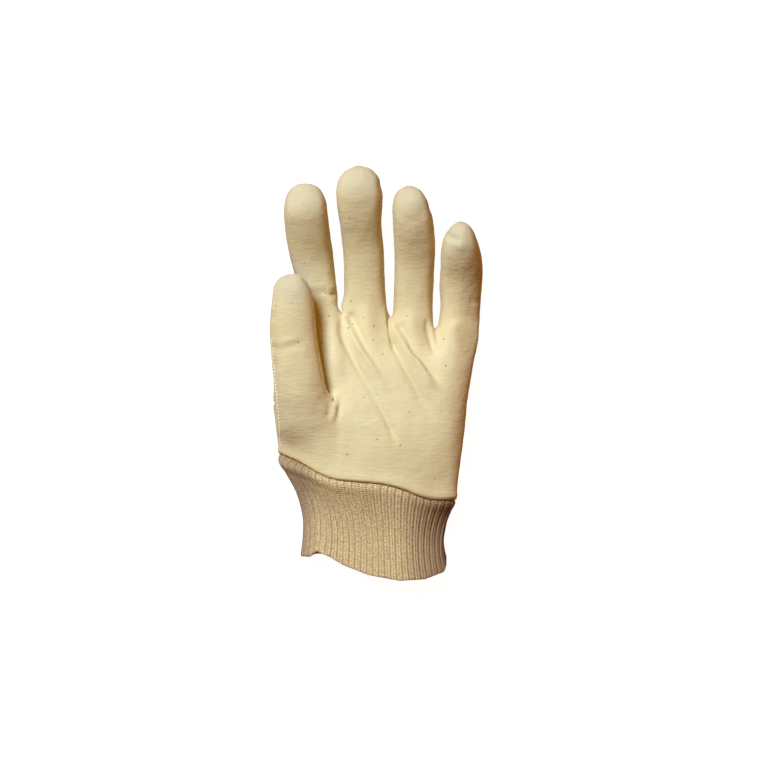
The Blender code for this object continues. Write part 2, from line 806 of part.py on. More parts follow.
def main():
    for thing in list(bpy.data.objects):
        bpy.data.objects.remove(thing)
    points, faces, zones = smooth_surface(build_cage())
    points = press_folds(points, faces, zones)
    points[:, 2] = np.maximum(points[:, 2], 0)
    normals = vertex_normals(points, faces)
    inward = eased(normals, faces)
    loop, open_points = wrist_loop(points, faces)
    things = []
    for name, panel_zones in PANELS.items():
        canvas = cloth_material(name + "_canvas", CANVAS_COLOUR, 0.92)
        chosen = [face for face, zone in zip(faces, zones) if zone in panel_zones]
        things.append(panel_solid(name, points, normals, inward, chosen, open_points, canvas))
    things.append(knit_cuff(loop, cloth_material("knit", KNIT_COLOUR, 0.95)))
    centre_on_floor(things)


main()
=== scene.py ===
"""The looks of a cotton canvas work glove with a ribbed knit wrist, dressed over its solid frame.

The canvas is rebuilt finely from the glove's own rows of named sizes, folded, creased and seamed,
and the knit wrist is rebuilt rib by rib. Lengths are in metres.
"""

import math

import bpy
import numpy as np
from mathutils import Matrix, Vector, kdtree, noise
from mathutils.bvhtree import BVHTree


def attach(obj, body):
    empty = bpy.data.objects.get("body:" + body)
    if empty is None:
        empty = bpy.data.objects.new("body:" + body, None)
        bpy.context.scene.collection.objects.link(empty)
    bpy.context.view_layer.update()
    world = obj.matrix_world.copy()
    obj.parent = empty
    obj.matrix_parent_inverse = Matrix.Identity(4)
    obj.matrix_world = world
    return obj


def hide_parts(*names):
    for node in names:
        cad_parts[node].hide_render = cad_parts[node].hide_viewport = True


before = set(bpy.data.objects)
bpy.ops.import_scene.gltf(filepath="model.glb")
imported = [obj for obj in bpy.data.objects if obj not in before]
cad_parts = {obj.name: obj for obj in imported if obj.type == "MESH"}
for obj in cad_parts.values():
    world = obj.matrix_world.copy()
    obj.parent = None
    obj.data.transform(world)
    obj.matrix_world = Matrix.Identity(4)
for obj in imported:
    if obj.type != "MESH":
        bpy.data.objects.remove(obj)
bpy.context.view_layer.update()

CANVAS_THICKNESS = 0.0016
# How deep the underside is pressed flat where the glove lies
REST_DEPTH = 0.0012

# Hand, measured flat on the glove: lengths run along +Y and widths along X
PALM_LENGTH = 0.101
PALM_DEPTH = 0.034
FINGER_GAP = 0.0030
WEB_RISE = 0.0095
THUMB_BASE_RISE = 0.046
THUMB_BASE_LIFT = 0.027
THUMB_BASE_DROP = 0.0075

INDEX_LENGTH = 0.0795
MIDDLE_LENGTH = 0.0925
RING_LENGTH = 0.0840
LITTLE_LENGTH = 0.0645
THUMB_LENGTH = 0.0797

INDEX_WIDTH = 0.0285
MIDDLE_WIDTH = 0.0285
RING_WIDTH = 0.0262
LITTLE_WIDTH = 0.0268
THUMB_WIDTH = 0.0306

FINGER_DEPTH = 0.0240
THUMB_DEPTH = 0.0245

# Knit wrist
CUFF_LENGTH = 0.0610
CUFF_WIDTH = 0.0880
CUFF_DEPTH = 0.0235
CUFF_INSET = 0.0009
RIB_COUNT = 56

# Smoothing: subdivision levels, and rounds that fit the smooth surface to the rings of points
SUBDIVISION = 3
FIT_ROUNDS = 5

# Panels, as zones of the canvas's faces
PALM, BACK, THUMB_FRONT, THUMB_BACK = range(4)
PANELS = {
    "palm_panel": (PALM, THUMB_FRONT),
    "back_panel": (BACK,),
    "thumb_back_panel": (THUMB_BACK,),
}

# Finger: length, width, width of its base as a share of its width, crotch heights at its left and
# right as shares of the palm length, depth as a share of the finger depth
FINGERS = {
    "index": (INDEX_LENGTH, INDEX_WIDTH, 0.76, 0.036, 0.032, 1.00),
    "middle": (MIDDLE_LENGTH, MIDDLE_WIDTH, 0.97, 0.032, 0.010, 1.02),
    "ring": (RING_LENGTH, RING_WIDTH, 1.03, 0.010, -0.054, 0.97),
    "little": (LITTLE_LENGTH, LITTLE_WIDTH, 0.89, -0.054, -0.050, 0.90),
}

# Rows of each digit. along and sway are shares of its length, width is a share of its width.
DIGIT_ROWS = {
    "index": (
        # along, sway, width
        (0.11, -0.020, 0.82),
        (0.38, -0.066, 0.93),
        (0.62, -0.102, 0.98),
        (0.82, -0.118, 0.93),
        (0.95, -0.122, 0.69),
        (1.00, -0.122, 0.00),
    ),
    "middle": (
        (0.11, -0.003, 0.91),
        (0.38, -0.010, 0.90),
        (0.62, -0.032, 0.94),
        (0.83, -0.038, 1.00),
        (0.95, -0.046, 0.72),
        (1.00, -0.048, 0.00),
    ),
    "ring": (
        (0.11, -0.004, 0.95),
        (0.38, 0.002, 0.95),
        (0.60, 0.004, 0.99),
        (0.82, -0.020, 0.90),
        (0.95, -0.040, 0.64),
        (1.00, -0.046, 0.00),
    ),
    "little": (
        (0.11, 0.010, 0.95),
        (0.38, 0.020, 0.99),
        (0.60, 0.022, 0.97),
        (0.80, 0.004, 0.84),
        (0.94, 0.016, 0.52),
        (1.00, 0.020, 0.00),
    ),
    "thumb": (
        (0.16, -0.028, 1.05),
        (0.38, -0.056, 0.97),
        (0.60, -0.072, 0.93),
        (0.82, -0.078, 0.82),
        (0.95, -0.098, 0.56),
        (1.00, -0.108, 0.00),
    ),
}

# How a digit bends up from the palm, against its share of length. lift is a share of the digit's
# length, depth a share of the digit's depth. The fingers bend further than their solids do, because
# the photo's shading asks for it.
FINGER_BEND = (
    # along, lift, depth
    (0.11, 0.000, 1.00),
    (0.38, 0.036, 0.95),
    (0.62, 0.155, 0.93),
    (0.80, 0.260, 0.95),
    (0.95, 0.266, 0.66),
    (1.00, 0.245, 0.00),
)
THUMB_BEND = (
    (0.00, 0.000, 1.36),
    (0.16, 0.096, 1.04),
    (0.38, 0.130, 1.00),
    (0.60, 0.160, 0.98),
    (0.82, 0.185, 0.90),
    (0.95, 0.195, 0.60),
    (1.00, 0.190, 0.00),
)

# Angles round a digit's section in degrees: 0 is its right side, 90 its palm side
FINGER_ANGLES = (148, 119, 90, 61, 32, -4, -44, -90, -136, 184)
THUMB_ANGLES = (146, 116, 88, 56, 20, -12, -40, -66, -92, -122, -157, 168)
# Power that squares a digit's oval a little
DIGIT_ROUNDNESS = 0.88
# The thumb's base: its width, and how far its middle lies left of the crotch, as shares
THUMB_BASE_WIDTH = 1.22
THUMB_BASE_OUTSET = 0.49

# Palm rows from the finger crotches down to the wrist seam. along and slope are shares of the palm
# length, left and right are edges as shares of the width there, height is a share of the palm
# depth, and valley is how far the crotch lines dip between the finger mounds.
PALM_ROWS = (
    # along, left, right, slope, height, valley
    (0.00, 0.000, 1.000, 0.000, 0.80, 0.22),
    (0.13, 0.022, 0.983, 0.050, 0.87, 0.10),
    (0.27, 0.062, 0.961, 0.040, 0.94, 0.03),
    (0.41, 0.095, 0.941, 0.035, 0.98, 0.00),
    (0.55, 0.040, 0.922, 0.050, 1.00, 0.00),
)
# Below the thumb's crotch. thumb says how far the left side has taken the thumb's own shape.
THENAR_ROWS = (
    # along, left, right, slope, height, thumb
    (0.55, -0.150, 0.922, 0.050, 1.00, 1.00),
    (0.69, -0.136, 0.906, 0.120, 0.99, 0.55),
    (0.84, -0.130, 0.884, 0.200, 0.94, 0.20),
    (1.00, -0.124, 0.862, 0.280, 0.86, 0.00),
)
THUMB_CROTCH = 0.173
WRIST_SAG = 0.022
# Shares of a row's slope that its left end rises and its right end falls
LEFT_TILT = 0.58
RIGHT_TILT = 0.42
# How far the rows next to the fingers sink at each crotch, as a share of the palm length, and the
# dip of the back's crotch lines against the palm's
CROTCH_SINK = 0.03
BACK_DIP = 0.5
# Power of a section's oval, and how far across it its outermost columns stand
FRONT_SQUARENESS = 2.7
BACK_SQUARENESS = 4.5
FRONT_REACH = 0.94
BACK_REACH = 0.90
# Below the thumb's crotch: where the back columns start across, then the thumb's outer arc of one
# point on the back, one at the side and four on the palm side
THENAR_BACK_START = -0.86
ARC_BACK_REACH = 0.965
ARC_SIDE_HEIGHT = 0.52
ARC_FRONT = (-0.955, -0.86, -0.73, -0.59)

# The web between thumb and palm: rise is a share of WEB_RISE, sink a share of the palm depth
WEB_POINTS = {
    # column: rise, sink
    2: (0.30, 0.06),
    1: (0.60, 0.14),
    0: (0.90, 0.20),
    27: (1.10, 0.12),
}

# Knit wrist rows from the canvas edge down to the hem. width and shift are shares of the cuff
# width, height a share of the cuff depth.
CUFF_ROWS = (
    # down, width, shift, height
    (0.06, 1.250, 0.000, 1.28),
    (0.17, 1.195, 0.006, 1.18),
    (0.36, 1.085, 0.026, 1.02),
    (0.60, 1.015, 0.041, 0.96),
    (0.82, 1.018, 0.045, 1.00),
    (1.00, 1.050, 0.045, 1.10),
)
# How far the hem hangs below its left corner, as a share of the cuff length, across the front
HEM_FRONT = (
    # across (-1 left, 1 right), drop
    (-1.00, 0.00),
    (-0.88, 0.00),
    (-0.77, -0.055),
    (-0.60, -0.005),
    (-0.41, 0.080),
    (-0.07, 0.180),
    (0.35, 0.240),
    (0.70, 0.228),
    (0.97, 0.160),
    (1.00, 0.105),
)
HEM_BACK_SHARE = 0.25
CUFF_LEFT_LENGTH = 1.06


def lerp(a, b, share):
    return a + (b - a) * share


def superellipse(across, squareness):
    """Height of a unit superellipse at a distance across from its middle."""
    return max(0.0, 1 - abs(across) ** squareness) ** (1 / squareness)


def column_of(rows, index):
    return [row[index] for row in rows]


class Cage:
    """Rings of points joined by faces, each face in one zone of the canvas."""

    def __init__(self):
        self.points = []
        self.faces = []
        self.zones = []

    def add(self, points):
        first = len(self.points)
        self.points.extend(np.asarray(point, float) for point in points)
        return list(range(first, len(self.points)))

    def bridge(self, lower, upper, zones):
        count = len(lower)
        for k, zone in enumerate(zones):
            after = (k + 1) % count
            self.faces.append((lower[k], lower[after], upper[after], upper[k]))
            self.zones.append(zone)

    def close(self, ring, tip, zones):
        count = len(ring)
        for k, zone in enumerate(zones):
            self.faces.append((ring[k], ring[(k + 1) % count], tip))
            self.zones.append(zone)


def slot_edges():
    """X of each finger slot's edges at the crotches, from the index finger's outer edge."""
    edges = [0.0]
    for length, width, base_share, *rest in FINGERS.values():
        edges.append(edges[-1] + width * base_share + FINGER_GAP)
    return edges


SLOTS = slot_edges()
KNUCKLE_WIDTH = SLOTS[-1]
# Columns of a palm ring: 17 on the palm side, the right side, 9 on the back, the left side
RIGHT_SIDE = 17
BACK_COLUMNS = range(18, 27)
LEFT_SIDE = 27
THUMB_CROTCH_COLUMN = 3


def front_shares():
    """Where the front columns stand across the knuckles, four to a finger, from 0 to 1."""
    xs = []
    for left, right in zip(SLOTS, SLOTS[1:]):
        xs += [lerp(left, right, quarter / 4) for quarter in range(4)]
    return [x / KNUCKLE_WIDTH for x in xs + [SLOTS[-1]]]


def back_shares():
    """Where the back columns stand across the knuckles, from right to left, two to a finger."""
    xs = [SLOTS[-1]]
    for left, right in reversed(list(zip(SLOTS, SLOTS[1:]))):
        xs += [(left + right) / 2, left]
    return [x / KNUCKLE_WIDTH for x in xs]


def oval_point(left, right, height, across, is_front, reach):
    """A point on a section: left and right are its ends in plan, across runs from -1 to 1."""
    shown = across * reach
    x, y = lerp(np.asarray(left), np.asarray(right), (shown + 1) / 2)
    middle = height / 2
    if is_front:
        z = middle * (1 + superellipse(shown, FRONT_SQUARENESS))
    else:
        pressed = middle + REST_DEPTH
        z = max(0.0, middle - pressed * superellipse(shown, BACK_SQUARENESS))
    return np.array((x, y, z))


def palm_ends(row):
    """The left and right ends of a palm section in plan."""
    along, left, right, slope = row[:4]
    y = -along * PALM_LENGTH
    tilt = slope * PALM_LENGTH
    left_end = (KNUCKLE_WIDTH * left, y + tilt * LEFT_TILT)
    right_end = (KNUCKLE_WIDTH * right, y - tilt * RIGHT_TILT)
    return left_end, right_end


def crotch_dip(share):
    """1 at a finger crotch and 0 at a finger's middle, for a share across the knuckles."""
    x = share * KNUCKLE_WIDTH
    if x < (SLOTS[0] + SLOTS[1]) / 2 or x > (SLOTS[-2] + SLOTS[-1]) / 2:
        return 0.0
    for left, right in zip(SLOTS, SLOTS[1:]):
        if left <= x <= right + 1e-9:
            return math.cos(math.pi * (x - left) / (right - left)) ** 2
    return 0.0


def crotch_height(share):
    """Y of the crotch line at a share across the knuckles."""
    rises = [values[3] for values in FINGERS.values()] + [FINGERS["little"][4]]
    return PALM_LENGTH * float(np.interp(share * KNUCKLE_WIDTH, SLOTS, rises))


def palm_ring(row):
    """The 28 points of a palm section above the thumb's crotch."""
    left, right = palm_ends(row)
    along, height, valley = row[0], row[4] * PALM_DEPTH, row[5]
    follow = 1 - min(1.0, along / PALM_ROWS[2][0])

    def columns(shares, is_front, reach, dipping):
        points = []
        for share in shares:
            point = oval_point(left, right, height, 2 * share - 1, is_front, reach)
            dip = crotch_dip(share)
            point[2] += dipping * valley * height * dip
            point[1] += follow * (crotch_height(share) - CROTCH_SINK * PALM_LENGTH * dip)
            points.append(point)
        return points

    right_side = np.array((right[0], right[1] + follow * crotch_height(1.0), height / 2))
    left_side = np.array((left[0], left[1] + follow * crotch_height(0.0), height / 2))
    front = columns(front_shares(), True, FRONT_REACH, -1.0)
    back = columns(back_shares(), False, BACK_REACH, BACK_DIP)
    return [*front, right_side, *back, left_side]


def section_frame(axis, k):
    """The across and outward directions of a tube's section at its k-th axis point."""
    before, after = axis[max(k - 1, 0)], axis[min(k + 1, len(axis) - 1)]
    tangent = (after - before) / np.linalg.norm(after - before)
    across = np.array((1.0, 0.0, 0.0)) - tangent[0] * tangent
    across /= np.linalg.norm(across)
    return across, np.cross(across, tangent)


def tube_ring(centre, across, outward, half_width, half_depth, angles):
    """Points of a digit's section at the given angles, never below the floor."""
    points = []
    for angle in angles:
        turn = math.radians(angle)
        u = math.copysign(abs(math.cos(turn)) ** DIGIT_ROUNDNESS, math.cos(turn))
        v = math.copysign(abs(math.sin(turn)) ** DIGIT_ROUNDNESS, math.sin(turn))
        point = centre + u * half_width * across + v * half_depth * outward
        point[2] = max(0.0, point[2])
        points.append(point)
    return points


def digit_rings(base, length, width, depth, rows, bend, angles):
    """The rings of a digit, from the first row to the last full one, and its tip point."""
    lifts = np.interp(column_of(rows, 0), column_of(bend, 0), column_of(bend, 1))
    depths = np.interp(column_of(rows, 0), column_of(bend, 0), column_of(bend, 2))
    axis = [np.asarray(base, float)]
    for (along, sway, _), lift in zip(rows, lifts):
        axis.append(axis[0] + length * np.array((sway, along, lift)))
    rings = []
    for k, ((_, _, width_share), depth_share) in enumerate(zip(rows, depths), start=1):
        if width_share == 0:
            break
        across, outward = section_frame(axis, k)
        half_width, half_depth = width * width_share / 2, depth * depth_share / 2
        rings.append(tube_ring(axis[k], across, outward, half_width, half_depth, angles))
    return rings, axis[-1]


def grow_digit(cage, base_ring, rings, tip, zones):
    """Adds a digit's rings to the cage, from its base ring to its tip."""
    lower = base_ring
    for points in rings:
        upper = cage.add(points)
        cage.bridge(lower, upper, zones)
        lower = upper
    cage.close(lower, cage.add([tip])[0], zones)


def finger_base_ring(ring, webs, finger):
    """The 10 points that a finger shares with the palm's top ring and the webs beside it."""
    front = ring[4 * finger : 4 * finger + 5]
    back_first = BACK_COLUMNS[0] + 2 * (3 - finger)
    back = ring[back_first : back_first + 3]
    right = ring[RIGHT_SIDE] if finger == 3 else webs[finger]
    left = ring[LEFT_SIDE] if finger == 0 else webs[finger - 1]
    return front + [right] + back + [left]


def finger_base(finger):
    """The middle of a finger's base in plan."""
    _, _, _, left_rise, right_rise, _ = list(FINGERS.values())[finger]
    return (SLOTS[finger] + SLOTS[finger + 1]) / 2, PALM_LENGTH * (left_rise + right_rise) / 2


def add_fingers(cage, top_ring):
    webs = []
    for finger in range(3):
        front = cage.points[top_ring[4 * (finger + 1)]]
        back = cage.points[top_ring[BACK_COLUMNS[0] + 2 * (3 - finger)]]
        web = (front + back) / 2
        web[1] = crotch_height(SLOTS[finger + 1] / KNUCKLE_WIDTH)
        webs += cage.add([web])
    zones = [PALM] * 6 + [BACK] * 2 + [PALM] * 2
    for finger, (name, values) in enumerate(FINGERS.items()):
        length, width, *_, depth_share = values
        depth = FINGER_DEPTH * depth_share
        base = (*finger_base(finger), depth / 2)
        rows = DIGIT_ROWS[name]
        rings, tip = digit_rings(base, length, width, depth, rows, FINGER_BEND, FINGER_ANGLES)
        grow_digit(cage, finger_base_ring(top_ring, webs, finger), rings, tip, zones)


def thenar_ring(row, thumb_base):
    """The 30 points of a section below the thumb's crotch: columns 3 to 26, then the outer arc."""
    left, right = palm_ends(row)
    height, thumb_share = row[4] * PALM_DEPTH, row[5]
    crotch_x = THUMB_CROTCH * KNUCKLE_WIDTH
    start = 2 * (crotch_x - left[0]) / (right[0] - left[0]) - 1
    shares = front_shares()
    first = shares[THUMB_CROTCH_COLUMN]
    sag = WRIST_SAG * PALM_LENGTH * row[0] ** 3
    points = []
    for share in shares[THUMB_CROTCH_COLUMN:]:
        across = lerp(start, 1.0, (share - first) / (1 - first))
        points.append(oval_point(left, right, height, across, True, FRONT_REACH))
    points.append(np.array((*right, height / 2)))
    for share in back_shares():
        across = lerp(THENAR_BACK_START, 1.0, share)
        points.append(oval_point(left, right, height, across, False, BACK_REACH))
    arc = [oval_point(left, right, height, -1.0, False, ARC_BACK_REACH)]
    arc.append(np.array((*left, height * ARC_SIDE_HEIGHT)))
    for across in ARC_FRONT:
        arc.append(oval_point(left, right, height, across, True, 1.0))
    for point, thumb_point in zip(arc, thumb_base):
        lifted = lerp(point, thumb_point, thumb_share)
        if thumb_share < 1:
            lifted[1] = point[1]
        points.append(lifted)
    for point in points:
        across = 2 * (point[0] - left[0]) / (right[0] - left[0]) - 1
        point[1] -= sag * (1 - min(1.0, across**2))
    return points


def build_cage():
    cage = Cage()
    upper_zones = [PALM] * 18 + [BACK] * 8 + [PALM] * 2
    lower_zones = [PALM] * 15 + [BACK] * 10 + [PALM] * 5
    thumb_zones = [THUMB_FRONT] * 4 + [THUMB_BACK] * 7 + [THUMB_FRONT]

    thumb_base = (
        THUMB_CROTCH * KNUCKLE_WIDTH - THUMB_WIDTH * THUMB_BASE_WIDTH * THUMB_BASE_OUTSET,
        -THUMB_BASE_RISE - THUMB_BASE_DROP,
        THUMB_BASE_LIFT,
    )
    axis = [np.asarray(thumb_base), np.asarray(thumb_base) + (0, THUMB_LENGTH, 0)]
    across, outward = section_frame(axis, 0)
    half_width, half_depth = THUMB_WIDTH * THUMB_BASE_WIDTH / 2, THUMB_DEPTH * THUMB_BEND[0][2] / 2
    arc_angles = (*THUMB_ANGLES[-2:], *THUMB_ANGLES[:4])
    base_arc = tube_ring(axis[0], across, outward, half_width, half_depth, arc_angles)

    split = thenar_ring(THENAR_ROWS[0], base_arc)
    crotch_ring = palm_ring(PALM_ROWS[-1])
    lower_split = cage.add(split)
    web_columns = cage.add(crotch_ring[column] for column in (LEFT_SIDE, 0, 1, 2))
    for index, column in zip(web_columns, (LEFT_SIDE, 0, 1, 2)):
        rise, sink = WEB_POINTS[column]
        cage.points[index][1] += rise * WEB_RISE
        cage.points[index][2] -= sink * PALM_DEPTH
    upper_split = web_columns[1:] + lower_split[:24] + [web_columns[0]]
    thumb_ring = lower_split[26:30] + [lower_split[0]]
    thumb_ring += [web_columns[3], web_columns[2], web_columns[1], web_columns[0]]
    thumb_ring += [lower_split[23], lower_split[24], lower_split[25]]

    upper = lower_split
    for row in THENAR_ROWS[1:]:
        lower = cage.add(thenar_ring(row, base_arc))
        cage.bridge(lower, upper, lower_zones)
        upper = lower

    lower = upper_split
    for row in reversed(PALM_ROWS[:-1]):
        ring = cage.add(palm_ring(row))
        cage.bridge(lower, ring, upper_zones)
        lower = ring
    add_fingers(cage, lower)

    sizes = (THUMB_LENGTH, THUMB_WIDTH, THUMB_DEPTH)
    rings, tip = digit_rings(thumb_base, *sizes, DIGIT_ROWS["thumb"], THUMB_BEND, THUMB_ANGLES)
    grow_digit(cage, thumb_ring, rings, tip, thumb_zones)
    return cage


def smooth_surface(cage):
    """The cage subdivided, its points first moved until the smooth surface passes through them."""
    mesh = bpy.data.meshes.new("canvas_cage")
    mesh.from_pydata([tuple(point) for point in cage.points], [], cage.faces)
    for polygon, zone in zip(mesh.polygons, cage.zones):
        polygon.material_index = zone
    for _ in range(len(PANELS) + 1):
        mesh.materials.append(None)
    helper = bpy.data.objects.new("canvas_cage", mesh)
    bpy.context.scene.collection.objects.link(helper)
    subdivide = helper.modifiers.new("smooth", "SUBSURF")
    subdivide.levels = subdivide.render_levels = SUBDIVISION
    target = np.array(cage.points)
    moved = target.copy()
    for _ in range(FIT_ROUNDS):
        limit = evaluated(helper)[0][: len(target)]
        moved += target - limit
        moved[:, 2] = np.where(target[:, 2] <= 0, np.maximum(moved[:, 2], 0), moved[:, 2])
        mesh.vertices.foreach_set("co", moved.ravel())
        mesh.update()
    points, faces, zones = evaluated(helper)
    bpy.data.objects.remove(helper)
    points[:, 2] = np.maximum(points[:, 2], 0)
    return points, faces, zones


def evaluated(thing):
    """Points, faces and zones of an object as its modifiers make it."""
    graph = bpy.context.evaluated_depsgraph_get()
    graph.update()
    result = thing.evaluated_get(graph).to_mesh()
    points = np.empty(len(result.vertices) * 3)
    result.vertices.foreach_get("co", points)
    faces = [tuple(polygon.vertices) for polygon in result.polygons]
    zones = [polygon.material_index for polygon in result.polygons]
    thing.evaluated_get(graph).to_mesh_clear()
    return points.reshape(-1, 3), faces, zones


def vertex_normals(points, faces):
    normals = np.zeros_like(points)
    for face in faces:
        corner = points[list(face)]
        normal = np.cross(corner[2] - corner[0], corner[-1] - corner[1])
        for index in face:
            normals[index] += normal
    return normals / np.linalg.norm(normals, axis=1)[:, None]


def panel_edges(faces):
    """Directed edges that only one of the faces uses, as a map from start to end."""
    used = set()
    for face in faces:
        for k, start in enumerate(face):
            used.add((start, face[(k + 1) % len(face)]))
    return {a: b for a, b in used if (b, a) not in used}


def wrist_loop(points, faces):
    """The canvas's lower edge in order, from its leftmost point and across the front first."""
    following = {end: start for start, end in panel_edges(faces).items()}
    start = min(following, key=lambda index: points[index][0])
    loop = [start]
    while following[loop[-1]] != start:
        loop.append(following[loop[-1]])
    if points[loop[len(loop) // 4]][2] < points[loop[3 * len(loop) // 4]][2]:
        loop = [start] + loop[:0:-1]
    return points[loop], set(loop)


def by_share(loop, shares):
    """Points of a closed loop at shares of its length."""
    closed = np.vstack((loop, loop[:1]))
    steps = np.linalg.norm(np.diff(closed, axis=0), axis=1)
    reached = np.concatenate(([0], np.cumsum(steps))) / steps.sum()
    return np.column_stack([np.interp(shares, reached, closed[:, k]) for k in range(3)])


def cuff_oval(left, right, height, count):
    """A closed section of the knit wrist, starting at its left end."""
    turns = np.linspace(math.pi, -math.pi, count, endpoint=False)
    points = []
    for turn in turns:
        across = math.cos(turn)
        is_front = math.sin(turn) >= 0
        points.append(oval_point(left, right, height, across, is_front, 1.0))
    return np.array(points)


def outward_in_section(ring):
    """Unit vectors square to a ring, in its own section, pointing out of it."""
    tangent = np.roll(ring, -1, axis=0) - np.roll(ring, 1, axis=0)
    tangent[:, 1] = 0
    out = np.column_stack((-tangent[:, 2], np.zeros(len(ring)), tangent[:, 0]))
    return out / np.linalg.norm(out, axis=1)[:, None]


# Fine surface. FRAME_SHIFT takes the hand's own origin, at the index finger's outer edge, to the
# frame's. Reliefs fade where the cloth turns from the front, and on the underside near the floor.
FRAME_SHIFT = (-0.0474243, 0.0349184)
FACING_GAIN = 2.5
UNDERSIDE = -0.5
GROUND_FADE = 0.002
# Seams between panels: a valley with a puffed edge beside it, flatter on the thumb's inner side
SEAM_OPENING = 0.00015
SEAM_DEPTH = 0.0008
SEAM_HALF_WIDTH = 0.0009
SEAM_POWER = 1.6
SEAM_PUFF = 0.0003
SEAM_PUFF_PLACE = 0.0024
SEAM_PUFF_WIDTH = 0.0013
SEAM_INNER_SHARE = 0.15
# Creases fade to a share within a distance of a seam
SEAM_CALM = 0.0015
CREASE_SHARE_AT_SEAM = 0.25
# The canvas's lower edge rolls in to the seam with the knit
EDGE_ROLL = 0.0004
EDGE_ROLL_WIDTH = 0.0010
EDGE_ROLL_POWER = 1.5
EDGE_PUFF = 0.0003
EDGE_PUFF_PLACE = 0.0022
EDGE_LIFT = 0.0014
EDGE_LIFT_WIDTH = 0.0070
# The picture that places below refer to: one unit in metres, its middle in the glove's frame, and
# the camera
PICTURE_UNIT = 0.000625
PICTURE_MIDDLE = (376.0, 373.0)
CAMERA_PLACE = (0.00795, -0.01094, 1.6)
THUMB_INNER_SIDE = 302
MILLIMETRE = 0.001

# A zone that takes in the palm and the thumb's front
BOTH = "palm_and_thumb"

# Lines that creases follow down the picture, through points in picture units
CREASE_LINES = {
    "index fold": (
        (338.5, 318), (339.5, 333), (348.7, 352), (359.6, 373),
        (369.6, 388), (380.9, 410), (390, 429), (398, 444),
    ),
    "middle ridge": (
        (343, 312), (346.5, 322), (351.4, 331), (355.6, 340),
        (360, 347.5), (367.5, 359), (380, 379), (396, 411),
    ),
    "middle valley": (
        (343, 312), (346.5, 322), (351.4, 331), (355.6, 340),
        (360, 347.5), (367.5, 359), (380, 375),
    ),
    "middle crotch": ((387.8, 312), (388.0, 325), (389.4, 335), (392.2, 345.5), (396, 354)),
    "ring fold": (
        (389.2, 334), (391.8, 344.5), (395.5, 352), (400, 361), (404.2, 370),
        (411.2, 382), (418.5, 396), (427, 410), (433, 425),
    ),
    "ring ridge": (
        (393, 323), (395.5, 329), (402.3, 340), (409.6, 353),
        (418.2, 362), (426.8, 374.6), (433, 382.4), (441, 391.5),
    ),
    "little fold": ((425.5, 319), (426.6, 330), (430.5, 345), (436, 360)),
    "little ridge": ((430.5, 326), (431.5, 336), (436, 350)),
    "index knuckle": ((306, 293.5), (316, 291.5), (327, 292.5), (337.5, 291.0)),
    "index base": ((322, 299.5), (330, 297.5), (337, 298.5)),
    "thumb pleat": ((328.6, 392.0), (331.4, 399.0), (333.4, 407.0), (332.0, 417.0), (329.0, 424.0)),
    "pleat right": ((332.6, 392.5), (336.2, 399), (337.6, 408), (336.4, 417), (333.5, 424)),
    "pleat left": ((325.0, 401.0), (328.6, 409.0), (325.5, 421.0)),
    "little side": ((482, 299), (474, 301), (466, 299.5)),
    "little tip": ((443.5, 233.5), (447, 237.5), (452, 241), (458.5, 243)),
    "ring tip": ((394, 214), (405, 221), (417, 219), (428, 211)),
    "middle tip": ((338.5, 205), (348, 208.5), (361, 209), (374, 205.5)),
    "middle joint": ((341, 234), (352, 236), (364, 235.5)),
    "ring joint": ((396, 244), (408, 247), (424, 245.5)),
    "index joint": ((290, 226), (302, 229), (318, 227.5)),
    "thumb joint": ((270, 347.5), (283, 348.5), (295, 345.0), (306, 342.5)),
    "thumb upper side": ((270, 316), (275, 318.5), (281, 319.5)),
    "thumb lower side": ((270, 366), (276, 368.0), (283, 367.0)),
}
